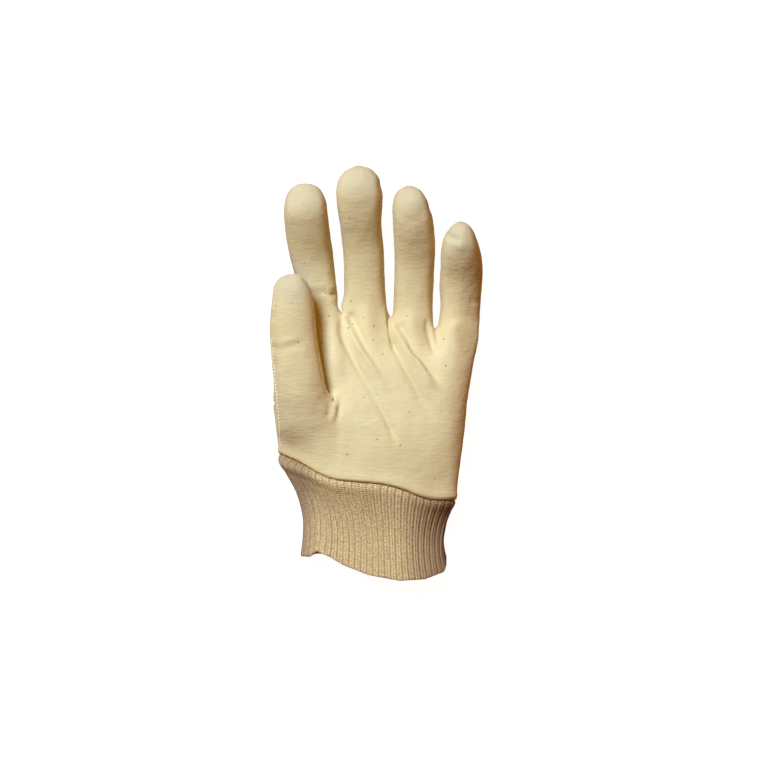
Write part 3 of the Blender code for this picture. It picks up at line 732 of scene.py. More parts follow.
# Creases and ridges of the canvas. A height (negative for a valley) is at offset to the right of
# its line, and falls off within the left and right widths, all in millimetres. It fades in and out
# over shares of the line.
CREASES = (
    # line, zone, height, offset, left, right, fade in, fade out
    ("index fold", PALM, -2.4, -0.4, 1.9, 2.6, 0.28, 0.15),
    ("middle ridge", PALM, 2.2, -0.6, 2.4, 1.4, 0.10, 0.30),
    ("middle valley", PALM, -2.5, 2.0, 1.3, 3.8, 0.12, 0.45),
    ("middle crotch", PALM, -3.5, 0.0, 0.9, 0.5, 0.02, 0.30),
    ("ring fold", PALM, -2.2, -0.2, 2.0, 2.4, 0.15, 0.30),
    ("ring ridge", PALM, 1.8, -0.5, 2.6, 1.1, 0.12, 0.25),
    ("ring ridge", PALM, -2.2, 1.7, 1.1, 4.2, 0.12, 0.30),
    ("little fold", PALM, -1.1, 0.0, 1.6, 0.9, 0.10, 0.40),
    ("little ridge", PALM, 1.0, 0.0, 1.2, 1.2, 0.10, 0.40),
    ("index knuckle", PALM, -2.4, 0.0, 1.2, 1.1, 0.15, 0.05),
    ("index knuckle", PALM, 1.0, 2.4, 1.4, 1.4, 0.15, 0.05),
    ("index base", PALM, -0.5, 0.0, 0.7, 0.7, 0.20, 0.10),
    ("thumb pleat", BOTH, 1.3, 0.0, 1.5, 1.5, 0.25, 0.40),
    ("pleat right", BOTH, -0.7, 0.4, 1.0, 1.9, 0.25, 0.40),
    ("pleat left", BOTH, -0.6, 0.0, 1.4, 0.8, 0.30, 0.40),
    ("little side", PALM, -0.9, 0.0, 1.1, 1.1, 0.05, 0.40),
    ("little tip", PALM, -1.5, 0.0, 1.1, 1.1, 0.10, 0.15),
    ("little tip", PALM, 0.9, -2.3, 1.3, 1.3, 0.10, 0.15),
    ("ring tip", PALM, -0.7, 0.0, 1.2, 1.2, 0.10, 0.30),
    ("middle tip", PALM, -0.8, 0.0, 1.1, 1.1, 0.10, 0.20),
    ("middle joint", PALM, -0.6, 0.0, 1.1, 1.1, 0.10, 0.20),
    ("ring joint", PALM, -0.6, 0.0, 1.1, 1.1, 0.10, 0.20),
    ("index joint", PALM, -0.6, 0.0, 1.1, 1.1, 0.10, 0.20),
    ("thumb joint", BOTH, -1.9, 0.0, 1.2, 1.1, 0.02, 0.40),
    ("thumb joint", BOTH, 0.8, 2.4, 1.4, 1.4, 0.02, 0.40),
    ("thumb upper side", BOTH, -0.9, 0.0, 1.1, 1.1, 0.02, 0.50),
    ("thumb lower side", BOTH, -0.9, 0.0, 1.1, 1.1, 0.02, 0.50),
)
# Soft dents and swellings: place and half sizes in picture units, height in millimetres
SWELLS = (
    # zone, x, y, half width, half length, height
    (PALM, 336, 362, 9, 26, 2.4),
    (PALM, 331, 330, 7, 26, 2.0),
    (PALM, 408, 452, 40, 30, 1.6),
    (PALM, 440, 420, 24, 40, 1.2),
    (BOTH, 270, 380, 6, 40, -1.4),
    (BOTH, 288, 428, 22, 18, 2.2),
    (PALM, 303, 187, 15, 8, 0.8),
    (PALM, 297, 200, 5, 6, -0.5),
    (PALM, 451, 240, 6, 4, -1.4),
    (PALM, 458, 248, 5, 3, 0.8),
    (PALM, 462, 229, 5, 4, 0.6),
    (PALM, 431, 209, 4, 4, -1.2),
    (PALM, 381, 187, 4, 6, -0.8),
    (PALM, 415, 203, 9, 9, 0.6),
)
# Unevenness all over the canvas, by noise: slow lumps, smaller ones, and fine wrinkles across
LUMPS = (
    # waves per metre along x, y and z, offset, height in metres
    ((55, 55, 55), (0.0, 0.0, 0.0), 0.00045),
    ((160, 160, 160), (3.1, 7.7, 1.3), 0.00022),
    ((170, 620, 170), (0.0, 0.0, 0.0), 0.00006),
)
# Places where the glove is lower right through, in picture units, with the share of height lost
PRESSES = (
    # x, y, half width, half length, share
    (474, 372, 14, 62, 0.11),
    (468, 430, 12, 42, 0.07),
    (484, 285, 10, 46, 0.09),
    (468, 322, 16, 26, 0.05),
    (278, 464, 28, 32, 0.34),
    (487, 312, 21, 34, 0.30),
)
# Places where the surface is evened out, in picture units, where it is high enough
EVENED = (
    # x, y, half width, half length, rounds
    (300, 404, 34, 26, 40),
    (334, 408, 24, 30, 30),
    (474, 318, 16, 18, 30),
)
EVENED_FULLY_ABOVE = 0.012
EVENING_STEP = 0.5
# Places pushed sideways in the picture: place, reach and push, all in picture units
PUSHES = (
    # x, y, reach, right, down
    (431, 210, 4, -1.5, 0.0),
    (381, 188, 5, -1.5, 0.0),
    (342, 307, 9, -4.0, 0.0),
    (436, 321, 6, 0.0, 4.0),
    (328, 468, 28, 0.0, 8.8),
    (362, 477, 22, 0.0, 2.5),
    (428, 492, 26, 0.0, 6.0),
)
# How far each finger curls up beyond FINGER_BEND, against its share of length, in metres
FINGER_CURL = (
    # along, lift
    (0.05, 0.0000),
    (0.25, 0.0012),
    (0.45, 0.0024),
    (0.62, 0.0042),
    (0.76, 0.0056),
    (0.86, 0.0056),
    (1.00, 0.0040),
)
# How far each finger's tip is drawn back along its length, in metres, and from which share of it on
TIP_BACK = {"index": 0.0009, "middle": 0.0019, "ring": 0.0012, "little": 0.0003}
TIP_BACK_START = 0.35
TIP_BACK_SPAN = 0.6
# A finger takes in what lies within this share of its width from its axis
FINGER_REACH = 0.55

# Knit wrist, finely. Lengths along it are shares of its own length, places round it shares of its
# loop, which starts at the left end and crosses the front first.
KNIT_COLUMNS_PER_RIB = 8
KNIT_ROWS = 84
KNIT_OVAL_POINTS = 720
KNIT_WALL = 0.0014
KNIT_STITCH_PITCH = 0.00135
KNIT_WOBBLE = 0.00035
# Ribs start at a share of their height and grow over a length. A rib's height is a plain share
# plus an uneven one, plus a right one that reaches so far from the right end.
KNIT_RIB_HEIGHT = 0.0008
KNIT_RIB_POWER = 0.8
KNIT_RIB_TOP = 0.35
KNIT_RIB_START = 0.05
KNIT_RIB_PLAIN = 0.62
KNIT_RIB_UNEVEN = 0.5
KNIT_RIB_RIGHT = 0.7
KNIT_RIB_RIGHT_REACH = 0.16
# The puffed top edge is full near the left end, and falls off from there to a least share
KNIT_PUFF = 0.0011
KNIT_PUFF_POWER = 0.8
KNIT_PUFF_LENGTH = 0.16
KNIT_PUFF_PLACE = 0.06
KNIT_PUFF_REACH = 0.30
KNIT_PUFF_FADE = 0.20
KNIT_PUFF_LEAST = 0.35
KNIT_HEM_ROLL = 0.0006
KNIT_HEM_LENGTH = 0.025
# The front flares up from a share of the length on, and droops right of a share of the half width
KNIT_FLARE = 0.0016
KNIT_FLARE_START = 0.50
KNIT_FLARE_SPAN = 0.40
KNIT_RIGHT_DROOP = 0.0040
KNIT_DROOP_START = 0.45
KNIT_DROOP_SPAN = 0.50
KNIT_DROOP_LENGTH = 0.25

# Thread along the seam on the thumb's outer edge, in picture units from its upper end
THUMB_SEAM = (
    (271.2, 340), (272.2, 355), (273.6, 367), (275.2, 384),
    (277.0, 400), (278.8, 420), (279.8, 436), (280.4, 448),
)
THUMB_SEAM_HEIGHT = 0.035
STITCH_PITCH = 0.0021
STITCH_LENGTH = 0.0018
STITCH_SLANT = 0.0004
THREAD_RADIUS = 0.00030

# Fingertips in picture units, painted darker and greyer as painted shade, and the distances in
# metres at which this painted shade starts and is full
TIPS = ((307, 193), (360, 178), (411, 195), (460, 231), (292, 283))
TIP_SHADE_REACH = (0.0185, 0.0075)

# Wave scale of the canvas's threads, and cells per metre that may hold a speck of husk
THREADS_SCALE = 480.0
SPECKS_SCALE = 135.0

# Colours, linear
CREAM = (0.800, 0.690, 0.345, 1)
CREAM_PATCH = (0.720, 0.600, 0.280, 1)
WEFT_STREAK = (0.560, 0.440, 0.235, 1)
WARP_STREAK = (0.600, 0.470, 0.260, 1)
# Painted shade: the browner tone over the fingers and the thumb
PAINTED_DIGIT_SHADE = (0.600, 0.455, 0.185, 1)
# Painted shade: the darker, greyer fingertips
PAINTED_TIP_SHADE = (0.500, 0.465, 0.285, 1)
HUSK = (0.170, 0.100, 0.050, 1)
YARN_LIGHT = (0.935, 0.735, 0.335, 1)
YARN_DARK = (0.665, 0.475, 0.200, 1)
# Painted shade: the holes between loops
YARN_HOLE_SHADE = (0.300, 0.190, 0.090, 1)
# Painted shade: the furrows between ribs, and the wrist's sides
YARN_FURROW_SHADE = (0.290, 0.180, 0.085, 1)
YARN_SIDE_SHADE = (0.260, 0.140, 0.070, 1)
THREAD_LIGHT = (0.900, 0.820, 0.580, 1)
THREAD_DARK = (0.760, 0.650, 0.420, 1)
FLOOR_GREY = (0.12, 0.12, 0.12, 1)
FLOOR_GLOW = (1.0, 1.0, 0.99, 1)

# Studio
FLOOR_SIZE = 6.0
FLOOR_DROP = 0.0002
FLOOR_GLOW_STRENGTH = 0.98
CAMERA_LENS = 116.2
CAMERA_SENSOR = 36.0
KEY_PLACE = (-0.70, 0.94, 1.56)
KEY_AIM = (0.0, 0.0, 0.02)
KEY_SIZE = 0.80
KEY_ENERGY = 63.0
KEY_COLOUR = (0.580, 0.722, 1.0)
ROOM_COLOUR = (1.04, 0.41, 0.0, 1)
ROOM_STRENGTHS = (0.14, 0.46)


def picture_spot(x, y):
    """A place in plan from the picture's units."""
    middle_x, middle_y = PICTURE_MIDDLE
    return np.array(((x - middle_x) * PICTURE_UNIT, (middle_y - y) * PICTURE_UNIT))


def spread(points, x, y, half_width, half_length):
    """Squared distance of points from a place of the picture, where 1 is its half sizes away."""
    spot = picture_spot(x, y)
    across = (points[:, 0] - spot[0]) / (half_width * PICTURE_UNIT)
    along = (points[:, 1] - spot[1]) / (half_length * PICTURE_UNIT)
    return across**2 + along**2


def bell(distance, width, power=2):
    """1 at no distance, falling off smoothly within a width."""
    return np.exp(-((distance / width) ** power))


def smooth_line(points, steps=12):
    """A curve through points, by Catmull-Rom segments."""
    points = [2 * points[0] - points[1], *points, 2 * points[-1] - points[-2]]
    line = []
    for a, b, c, d in zip(points, points[1:], points[2:], points[3:]):
        bend, twist = 2 * a - 5 * b + 4 * c - d, 3 * b - a - 3 * c + d
        for k in range(steps):
            t = k / steps
            line.append(0.5 * (2 * b + (c - a) * t + bend * t * t + twist * t**3))
    return np.array(line + [points[-2]])


def line_distance(plan, line):
    """Distance in plan from a line, positive on its left, and the share of the line reached."""
    nearest = np.full(len(plan), np.inf)
    signed = np.zeros(len(plan))
    place = np.zeros(len(plan))
    count = len(line) - 1
    for k in range(count):
        step = line[k + 1] - line[k]
        offset = plan - line[k]
        along = np.clip(offset @ step / (step @ step), 0, 1)
        distance = np.linalg.norm(offset - along[:, None] * step, axis=1)
        closer = distance < nearest
        nearest[closer] = distance[closer]
        side = np.sign(step[0] * offset[:, 1] - step[1] * offset[:, 0])
        signed[closer] = (distance * side)[closer]
        place[closer] = (k + along[closer]) / count
    return signed, place


def smooth_step(share):
    """0 up to a share of 0 and 1 from a share of 1 on, with a smooth rise between."""
    share = np.clip(share, 0, 1)
    return share * share * (3 - 2 * share)


PANEL_OF = {PALM: 0, THUMB_FRONT: 0, BACK: 1, THUMB_BACK: 2}


def zone_masks(count, faces, zones):
    """For each zone, which points its faces use."""
    zones = np.asarray(zones)
    quads = np.array(faces)
    masks = {}
    for zone in PANEL_OF:
        inside = np.zeros(count, bool)
        inside[quads[zones == zone].ravel()] = True
        masks[zone] = inside
    masks[BOTH] = masks[PALM] | masks[THUMB_FRONT]
    return masks


def seam_shift(points, masks, distance):
    """How far the canvas is drawn in, or puffed out, at a distance from the nearest seam."""
    shift = -SEAM_DEPTH * bell(distance, SEAM_HALF_WIDTH, SEAM_POWER)
    shift += SEAM_PUFF * bell(distance - SEAM_PUFF_PLACE, SEAM_PUFF_WIDTH)
    inner_side = masks[THUMB_FRONT] | masks[THUMB_BACK]
    inner_side &= points[:, 0] > picture_spot(THUMB_INNER_SIDE, 0)[0]
    return shift * np.where(inner_side, SEAM_INNER_SHARE, 1.0)


def edge_shift(distance, facing):
    """How far the canvas is rolled in, puffed and lifted at a distance from its lower edge."""
    shift = -EDGE_ROLL * bell(distance, EDGE_ROLL_WIDTH, EDGE_ROLL_POWER)
    shift += EDGE_PUFF * bell(distance - EDGE_PUFF_PLACE, EDGE_ROLL_WIDTH)
    return shift + EDGE_LIFT * bell(distance, EDGE_LIFT_WIDTH) * facing


def crease_canvas(points, faces, zones, seam_distance, edge_distance):
    """The fine surface with its creases, swells, lumps, seams and rolled lower edge."""
    normals = vertex_normals(points, faces)
    masks = zone_masks(len(points), faces, zones)
    facing = np.clip(normals[:, 2] * FACING_GAIN, 0, 1)
    shift = np.zeros(len(points))
    for name, zone, height, offset, left, right, fade_in, fade_out in CREASES:
        line = smooth_line([picture_spot(*mark) for mark in CREASE_LINES[name]])
        signed, place = line_distance(points[:, :2], line)
        fade = smooth_step(place / fade_in) * smooth_step((1 - place) / fade_out)
        beside = signed / MILLIMETRE - offset
        profile = bell(beside, np.where(beside < 0, left, right))
        shift += height * MILLIMETRE * profile * fade * masks[zone] * facing
    for zone, *place, height in SWELLS:
        shift += height * MILLIMETRE * np.exp(-spread(points, *place)) * masks[zone] * facing
    for waves, offset, height in LUMPS:
        places = points * waves + offset
        shift += height * np.array([noise.noise(Vector(place)) for place in places])
    shift *= lerp(CREASE_SHARE_AT_SEAM, 1.0, np.clip(seam_distance / SEAM_CALM, 0, 1))
    shift += seam_shift(points, masks, seam_distance) + edge_shift(edge_distance, facing)
    grounded = np.clip(points[:, 2] / GROUND_FADE, 0, 1)
    shift *= np.where(normals[:, 2] < UNDERSIDE, grounded, 1)
    moved = points + shift[:, None] * normals
    moved[:, 2] = np.maximum(moved[:, 2], 0.0)
    return moved


def even_out(points, faces, share, rounds):
    """Points drawn toward the middle of their neighbours, each by its share, several times over."""
    quads = np.array(faces)
    starts, ends = quads.ravel(), np.roll(quads, -1, axis=1).ravel()
    moved = points.copy()
    count = np.bincount(starts, minlength=len(points)) + np.bincount(ends, minlength=len(points))
    count = np.maximum(count, 1)[:, None]
    for _ in range(rounds):
        total = np.zeros_like(moved)
        np.add.at(total, starts, moved[ends])
        np.add.at(total, ends, moved[starts])
        moved += (total / count - moved) * EVENING_STEP * share[:, None]
    return moved


def curl_fingers(points, faces, zones):
    """The fine surface with every finger curled up a little more and its tip drawn back."""
    moved = points.copy()
    masks = zone_masks(len(points), faces, zones)
    thumb = masks[THUMB_FRONT] | masks[THUMB_BACK]
    plan = points[:, :2] - FRAME_SHIFT
    for finger, (name, (length, width, *_)) in enumerate(FINGERS.items()):
        base_x, base_y = finger_base(finger)
        along = (plan[:, 1] - base_y) / length
        rows = [(0.0, 0.0), *DIGIT_ROWS[name]]
        sway = np.interp(along, column_of(rows, 0), column_of(rows, 1))
        away = np.abs(plan[:, 0] - base_x - sway * length)
        near = (along > 0) & (away < width * FINGER_REACH) & ~thumb
        lift = np.interp(along, column_of(FINGER_CURL, 0), column_of(FINGER_CURL, 1))
        moved[near, 2] += lift[near] * length / MIDDLE_LENGTH
        back = smooth_step((along[near] - TIP_BACK_START) / TIP_BACK_SPAN)
        moved[near, 1] -= TIP_BACK[name] * back
    return moved


def settle_canvas(points, faces):
    """The fine surface pressed lower, evened out and pushed aside where the tables say."""
    moved = points.copy()
    for *place, share in PRESSES:
        moved[:, 2] *= 1 - share * np.exp(-spread(points, *place))
    for *place, rounds in EVENED:
        share = np.exp(-(spread(points, *place) ** 2))
        share *= smooth_step(moved[:, 2] / EVENED_FULLY_ABOVE)
        moved = even_out(moved, faces, share, rounds)
    for x, y, reach, right, down in PUSHES:
        push = np.exp(-spread(points, x, y, reach, reach)) * PICTURE_UNIT
        moved[:, 0] += push * right
        moved[:, 1] -= push * down
    return moved


def distance_to(points, marks):
    """Distance of each point from the nearest mark."""
    tree = kdtree.KDTree(len(marks))
    for index, mark in enumerate(marks):
        tree.insert(Vector(mark), index)
    tree.balance()
    return np.array([tree.find(Vector(point))[2] for point in points])


def seam_marks(points, faces, zones):
    """Points and edge middles where two panels meet."""
    owner = {}
    marks = []
    for face, zone in zip(faces, zones):
        panel = PANEL_OF[zone]
        for k, start in enumerate(face):
            end = face[(k + 1) % len(face)]
            key = (min(start, end), max(start, end))
            if key in owner and owner[key] != panel:
                marks += [points[start], (points[start] + points[end]) / 2]
            owner[key] = panel
    return np.array(marks)


def mesh_object(name, points, faces, material):
    """A smooth-shaded object in the scene."""
    mesh = bpy.data.meshes.new(name)
    mesh.from_pydata([tuple(point) for point in points], [], faces)
    mesh.materials.append(material)
    mesh.shade_smooth()
    thing = bpy.data.objects.new(name, mesh)
    bpy.context.scene.collection.objects.link(thing)
    return thing


def fine_panel(name, points, normals, faces, open_points, material):
    """A canvas panel with its thickness, drawn in a little along the seams."""
    rim = panel_edges(faces)
    around = {index: [] for index in rim}
    for face in faces:
        for index in face:
            if index in around:
                around[index].append(points[list(face)].mean(axis=0))
    outer = points.copy()
    for index, centres in around.items():
        if index in open_points:
            continue
        pull = np.mean(centres, axis=0) - points[index]
        pull -= (pull @ normals[index]) * normals[index]
        outer[index] += pull / np.linalg.norm(pull) * SEAM_OPENING / 2
    used = sorted({index for face in faces for index in face})
    place = {index: k for k, index in enumerate(used)}
    count = len(used)
    inner = outer[used] - CANVAS_THICKNESS * normals[used]
    solid_faces = [tuple(place[i] for i in face) for face in faces]
    solid_faces += [tuple(place[i] + count for i in reversed(face)) for face in faces]
    for start, end in rim.items():
        a, b = place[start], place[end]
        solid_faces.append((b, a, a + count, b + count))
    return mesh_object(name, np.vstack((outer[used], inner)), solid_faces, material)


def hem_drop(across, shares):
    """How far the hem hangs below its left corner, on the front and, less, on the back."""
    drop = np.interp(across, column_of(HEM_FRONT, 0), column_of(HEM_FRONT, 1))
    return np.where(shares < 0.5, drop, drop * HEM_BACK_SHARE)


def knit_rings(top, shares):
    """The smooth sections of the knit wrist: its top edge, then one for each of CUFF_ROWS."""
    left_end, right_end = top[np.argmin(top[:, 0])], top[np.argmax(top[:, 0])]
    middle_x = (left_end[0] + right_end[0]) / 2
    hem_left_y = left_end[1] - CUFF_LEFT_LENGTH * CUFF_LENGTH
    rings = [top - outward_in_section(top) * CUFF_INSET]
    for down, width, shift, height in CUFF_ROWS:
        x = middle_x + shift * CUFF_WIDTH
        half = width * CUFF_WIDTH / 2
        oval = cuff_oval((x - half, 0), (x + half, 0), height * CUFF_DEPTH, KNIT_OVAL_POINTS)
        ring = by_share(oval, shares)
        across = np.clip((ring[:, 0] - x) / half, -1, 1)
        hem_y = hem_left_y - hem_drop(across, shares) * CUFF_LENGTH
        ring[:, 1] = lerp(top[:, 1], hem_y, down)
        rings.append(ring)
    return rings


def knit_section(rings, down):
    """The knit wrist's section at a share of its length, smoothly through the rings."""
    marks = [0.0] + column_of(CUFF_ROWS, 0)
    k = min(max(int(np.searchsorted(marks, down, side="right")) - 1, 0), len(marks) - 2)
    span = marks[k + 1] - marks[k]
    t = (down - marks[k]) / span
    a, b = rings[k], rings[k + 1]
    before = after = b - a
    if k > 0:
        before = (b - rings[k - 1]) / (marks[k + 1] - marks[k - 1]) * span
    if k + 2 < len(marks):
        after = (rings[k + 2] - a) / (marks[k + 2] - marks[k]) * span
    return (
        (2 * t**3 - 3 * t**2 + 1) * a
        + (t**3 - 2 * t**2 + t) * before
        + (3 * t**2 - 2 * t**3) * b
        + (t**3 - t**2) * after
    )


def rib_noise(shares, down, waves, depth):
    """Noise that differs from rib to rib and changes slowly down each one."""
    ribs = np.floor(RIB_COUNT * shares + 0.5)
    across, along = waves
    return np.array([noise.noise(Vector((rib * across, down * along, depth))) for rib in ribs])


def knit_relief(shares, down):
    """How far the knit stands out of its smooth section: ribs, puffed top edge and rolled hem."""
    wave = np.abs(np.cos(math.pi * RIB_COUNT * shares)) ** KNIT_RIB_POWER
    start = min(1.0, down / KNIT_RIB_START)
    uneven = rib_noise(shares, down, (1.7, 4.0), 7.5)
    right = np.clip(1 - np.abs(shares - 0.5) / KNIT_RIB_RIGHT_REACH, 0, 1)
    rib = KNIT_RIB_PLAIN + KNIT_RIB_UNEVEN * uneven + KNIT_RIB_RIGHT * right
    rib *= KNIT_RIB_HEIGHT * lerp(KNIT_RIB_TOP, 1.0, start)
    puff = 0.0
    if down < KNIT_PUFF_LENGTH:
        puff = KNIT_PUFF * math.sin(math.pi * down / KNIT_PUFF_LENGTH) ** KNIT_PUFF_POWER
    left_puff = (KNIT_PUFF_REACH - np.abs(shares - KNIT_PUFF_PLACE)) / KNIT_PUFF_FADE
    left_puff = np.clip(left_puff, KNIT_PUFF_LEAST, 1)
    wobble = rib_noise(shares, down, (0.37, 5.0), 0.5) * KNIT_WOBBLE
    hem = max(0.0, (down - 1 + KNIT_HEM_LENGTH) / KNIT_HEM_LENGTH)
    return rib * (wave - 1) + puff * left_puff + wobble - KNIT_HEM_ROLL * hem**2


def knit_fall(raised, ring, down):
    """How far the front of a knit row flares up toward the hem and droops toward the right."""
    middle, half = (ring[:, 0].min() + ring[:, 0].max()) / 2, np.ptp(ring[:, 0]) / 2
    front = np.clip(ring[:, 2] / max(ring[:, 2].max(), 1e-6) * 2 - 1, 0, 1)
    rightward = ((raised[:, 0] - middle) / half - KNIT_DROOP_START) / KNIT_DROOP_SPAN
    droop = smooth_step(rightward) * smooth_step(down / KNIT_DROOP_LENGTH)
    flare = smooth_step((down - KNIT_FLARE_START) / KNIT_FLARE_SPAN)
    return front * (KNIT_FLARE * flare - KNIT_RIGHT_DROOP * droop)


def double_wall_faces(rows, count):
    """Faces of a tube with an outer and an inner wall, each of rows of count points."""
    faces = []
    inside = rows * count
    last = inside - count
    for row in range(rows - 1):
        a, b = row * count, (row + 1) * count
        c, d = a + inside, b + inside
        for k in range(count):
            after = (k + 1) % count
            faces.append((a + k, b + k, b + after, a + after))
            faces.append((c + k, c + after, d + after, d + k))
    for k in range(count):
        after = (k + 1) % count
        faces.append((k, after, inside + after, inside + k))
        faces.append((last + after, last + k, inside + last + k, inside + last + after))
    return faces


def knit_wrist(loop, material):
    """The ribbed tube that hangs from the canvas's lower edge."""
    count = KNIT_COLUMNS_PER_RIB * RIB_COUNT
    shares = np.arange(count) / count
    rings = knit_rings(by_share(loop, shares), shares)
    outer, inner, stitches = [], [], []
    travelled = np.zeros(count)
    previous = rings[0]
    for row in range(KNIT_ROWS + 1):
        down = row / KNIT_ROWS
        ring = knit_section(rings, down)
        travelled = travelled + np.linalg.norm(ring - previous, axis=1)
        previous = ring
        out = outward_in_section(ring)
        raised = ring + out * knit_relief(shares, down)[:, None]
        raised[:, 2] = np.maximum(raised[:, 2] + knit_fall(raised, ring, down), 0.0)
        outer.append(raised)
        inner.append(raised - out * KNIT_WALL)
        stitches.append(np.column_stack((RIB_COUNT * shares, travelled / KNIT_STITCH_PITCH)))
    faces = double_wall_faces(KNIT_ROWS + 1, count)
    thing = mesh_object("knit_wrist", np.vstack(outer + inner), faces, material)
    # One unit across for each rib and one along for each stitch, unbroken where the loop closes
    layer = thing.data.uv_layers.new(name="stitches")
    corners = np.vstack(stitches + stitches)[np.array(faces)]
    wrapped = np.ptp(corners[:, :, 0], axis=1) > RIB_COUNT / 2
    low = corners[wrapped, :, 0] < 1
    corners[wrapped, :, 0] += np.where(low, RIB_COUNT, 0)
    layer.data.foreach_set("uv", corners.reshape(-1))
    return thing


def thumb_stitches(panels, material):
    """Slanting stitches on the canvas where the camera sees the thumb's outer seam."""
    camera = Vector(CAMERA_PLACE)
    points, faces = [], []
    for panel in panels:
        first = len(points)
        points += [vertex.co.copy() for vertex in panel.data.vertices]
        for polygon in panel.data.polygons:
            faces.append(tuple(first + index for index in polygon.vertices))
    tree = BVHTree.FromPolygons(points, faces)

    def on_canvas(spot):
        aim = Vector((*spot, THUMB_SEAM_HEIGHT))
        hit, normal, _, _ = tree.ray_cast(camera, (aim - camera).normalized())
        return hit, normal

    line = smooth_line([picture_spot(*mark) for mark in THUMB_SEAM])
    steps = np.linalg.norm(np.diff(line, axis=0), axis=1)
    reached = np.concatenate(([0], np.cumsum(steps)))
    verts, quads = [], []
    for start in np.arange(0, reached[-1] - STITCH_LENGTH, STITCH_PITCH):
        ends = []
        for along, side in ((start, -STITCH_SLANT), (start + STITCH_LENGTH, STITCH_SLANT)):
            spot = np.array([np.interp(along, reached, line[:, k]) for k in range(2)])
            ends.append(on_canvas(spot + (side, 0)))
        if any(hit is None for hit, _ in ends):
            continue
        (a, normal_a), (b, normal_b) = ends
        if (a - b).length > 3 * STITCH_LENGTH:
            continue
        rise = (normal_a + normal_b).normalized() * THREAD_RADIUS
        more, more_faces = thread(a, b, rise, THREAD_RADIUS)
        quads += [tuple(len(verts) + index for index in face) for face in more_faces]
        verts += more
    return mesh_object("thumb_stitches", verts, quads, material)


def thread(start, end, rise, radius, steps=5, sides=6):
    """Points and faces of one stitch: a bowed thread from start to end."""
    start, end, rise = (np.array(value) for value in (start, end, rise))
    along = (end - start) / np.linalg.norm(end - start)
    up = rise / np.linalg.norm(rise)
    side = np.cross(along, up)
    points, faces = [], []
    for k in range(steps + 1):
        centre = lerp(start, end, k / steps) + rise * (2 * math.sin(math.pi * k / steps) - 0.5)
        for j in range(sides):
            turn = 2 * math.pi * j / sides
            points.append(centre + radius * (math.cos(turn) * side + math.sin(turn) * up))
    for k in range(steps):
        for j in range(sides):
            after = (j + 1) % sides
            low, high = k * sides, (k + 1) * sides
            faces.append((low + j, high + j, high + after, low + after))
    faces.append(tuple(range(sides)))
    faces.append(tuple(reversed(range(steps * sides, (steps + 1) * sides))))
    return points, faces


class Nodes:
    """The node tree of a material or of the world, with short calls for the nodes used here."""

    def __init__(self, tree):
        self.tree = tree

    def add(self, kind, inputs=None, **settings):
        node = self.tree.nodes.new(kind)
        for key, value in settings.items():
            setattr(node, key, value)
        for key, value in (inputs or {}).items():
            self.fill(node.inputs[key], value)
        return node

    def fill(self, socket, value):
        if isinstance(value, bpy.types.NodeSocket):
            self.tree.links.new(value, socket)
        else:
            socket.default_value = value

    def place(self):
        return self.add("ShaderNodeTexCoord").outputs["Object"]

    def split(self, vector):
        return self.add("ShaderNodeSeparateXYZ", {"Vector": vector}).outputs

    def math(self, operation, *values):
        return self.add("ShaderNodeMath", dict(enumerate(values)), operation=operation).outputs[0]

    def times(self, a, b):
        return self.math("MULTIPLY", a, b)

    def weighed(self, *pairs):
        """The sum of values, each times its weight."""
        total = None
        for value, weight in pairs:
            part = self.times(value, weight)
            total = part if total is None else self.math("ADD", total, part)
        return total

    def ramp(self, value, low, high, to_low=0.0, to_high=1.0):
        """A value's way from low to high, as a way from to_low to to_high, and no further."""
        values = dict(enumerate((value, low, high, to_low, to_high)))
        return self.add("ShaderNodeMapRange", values).outputs[0]

    def noise(self, place, scale, detail=2.0, roughness=0.5):
        """Noise with its own number of waves per metre along x, y and z."""
        mapping = self.add("ShaderNodeMapping", {"Vector": place, "Scale": scale})
        values = {"Vector": mapping.outputs[0], "Scale": 1.0}
        values.update({"Detail": detail, "Roughness": roughness})
        return self.add("ShaderNodeTexNoise", values).outputs[0]

    def bands(self, place, axis, scale):
        """Slightly wavy threads that follow each other along an axis."""
        values = {"Vector": place, "Scale": scale, "Distortion": 1.2}
        values.update({"Detail": 1.0, "Detail Scale": 2.0})
        return self.add("ShaderNodeTexWave", values, bands_direction=axis).outputs["Fac"]

    def bump(self, height, strength, distance, before=None):
        """A normal bent by a height, over another bump if there is one before it."""
        values = {"Strength": strength, "Distance": distance, "Height": height}
        if before is not None:
            values["Normal"] = before
        return self.add("ShaderNodeBump", values).outputs[0]

    def tint(self, base, colour, share, strength=1.0):
        """The base colour drawn toward another by a share times a strength."""
        values = {0: self.times(share, strength), 6: base, 7: colour}
        return self.add("ShaderNodeMix", values, data_type="RGBA").outputs[2]


def cloth_shader(name, roughness, sheen):
    """A new material, its nodes and its shader, without colour or relief yet."""
    material = bpy.data.materials.new(name)
    material.use_nodes = True
    shader = material.node_tree.nodes["Principled BSDF"]
    shader.inputs["Roughness"].default_value = roughness
    shader.inputs["Specular IOR Level"].default_value = 0.2
    shader.inputs["Sheen Weight"].default_value = sheen
    shader.inputs["Sheen Roughness"].default_value = 0.6
    return material, Nodes(material.node_tree), shader


def tip_shares(nodes, place):
    """How near a place is to the closest fingertip in plan, 1 at its middle."""
    values = {0: place, 1: (1.0, 1.0, 0.0)}
    flat = nodes.add("ShaderNodeVectorMath", values, operation="MULTIPLY").outputs[0]
    nearest = None
    for x, y in TIPS:
        tip = tuple(float(value) for value in picture_spot(x, y))
        values = {0: flat, 1: (*tip, 0.0)}
        away = nodes.add("ShaderNodeVectorMath", values, operation="DISTANCE").outputs["Value"]
        nearest = away if nearest is None else nodes.math("MINIMUM", nearest, away)
    return nodes.ramp(nearest, *TIP_SHADE_REACH)


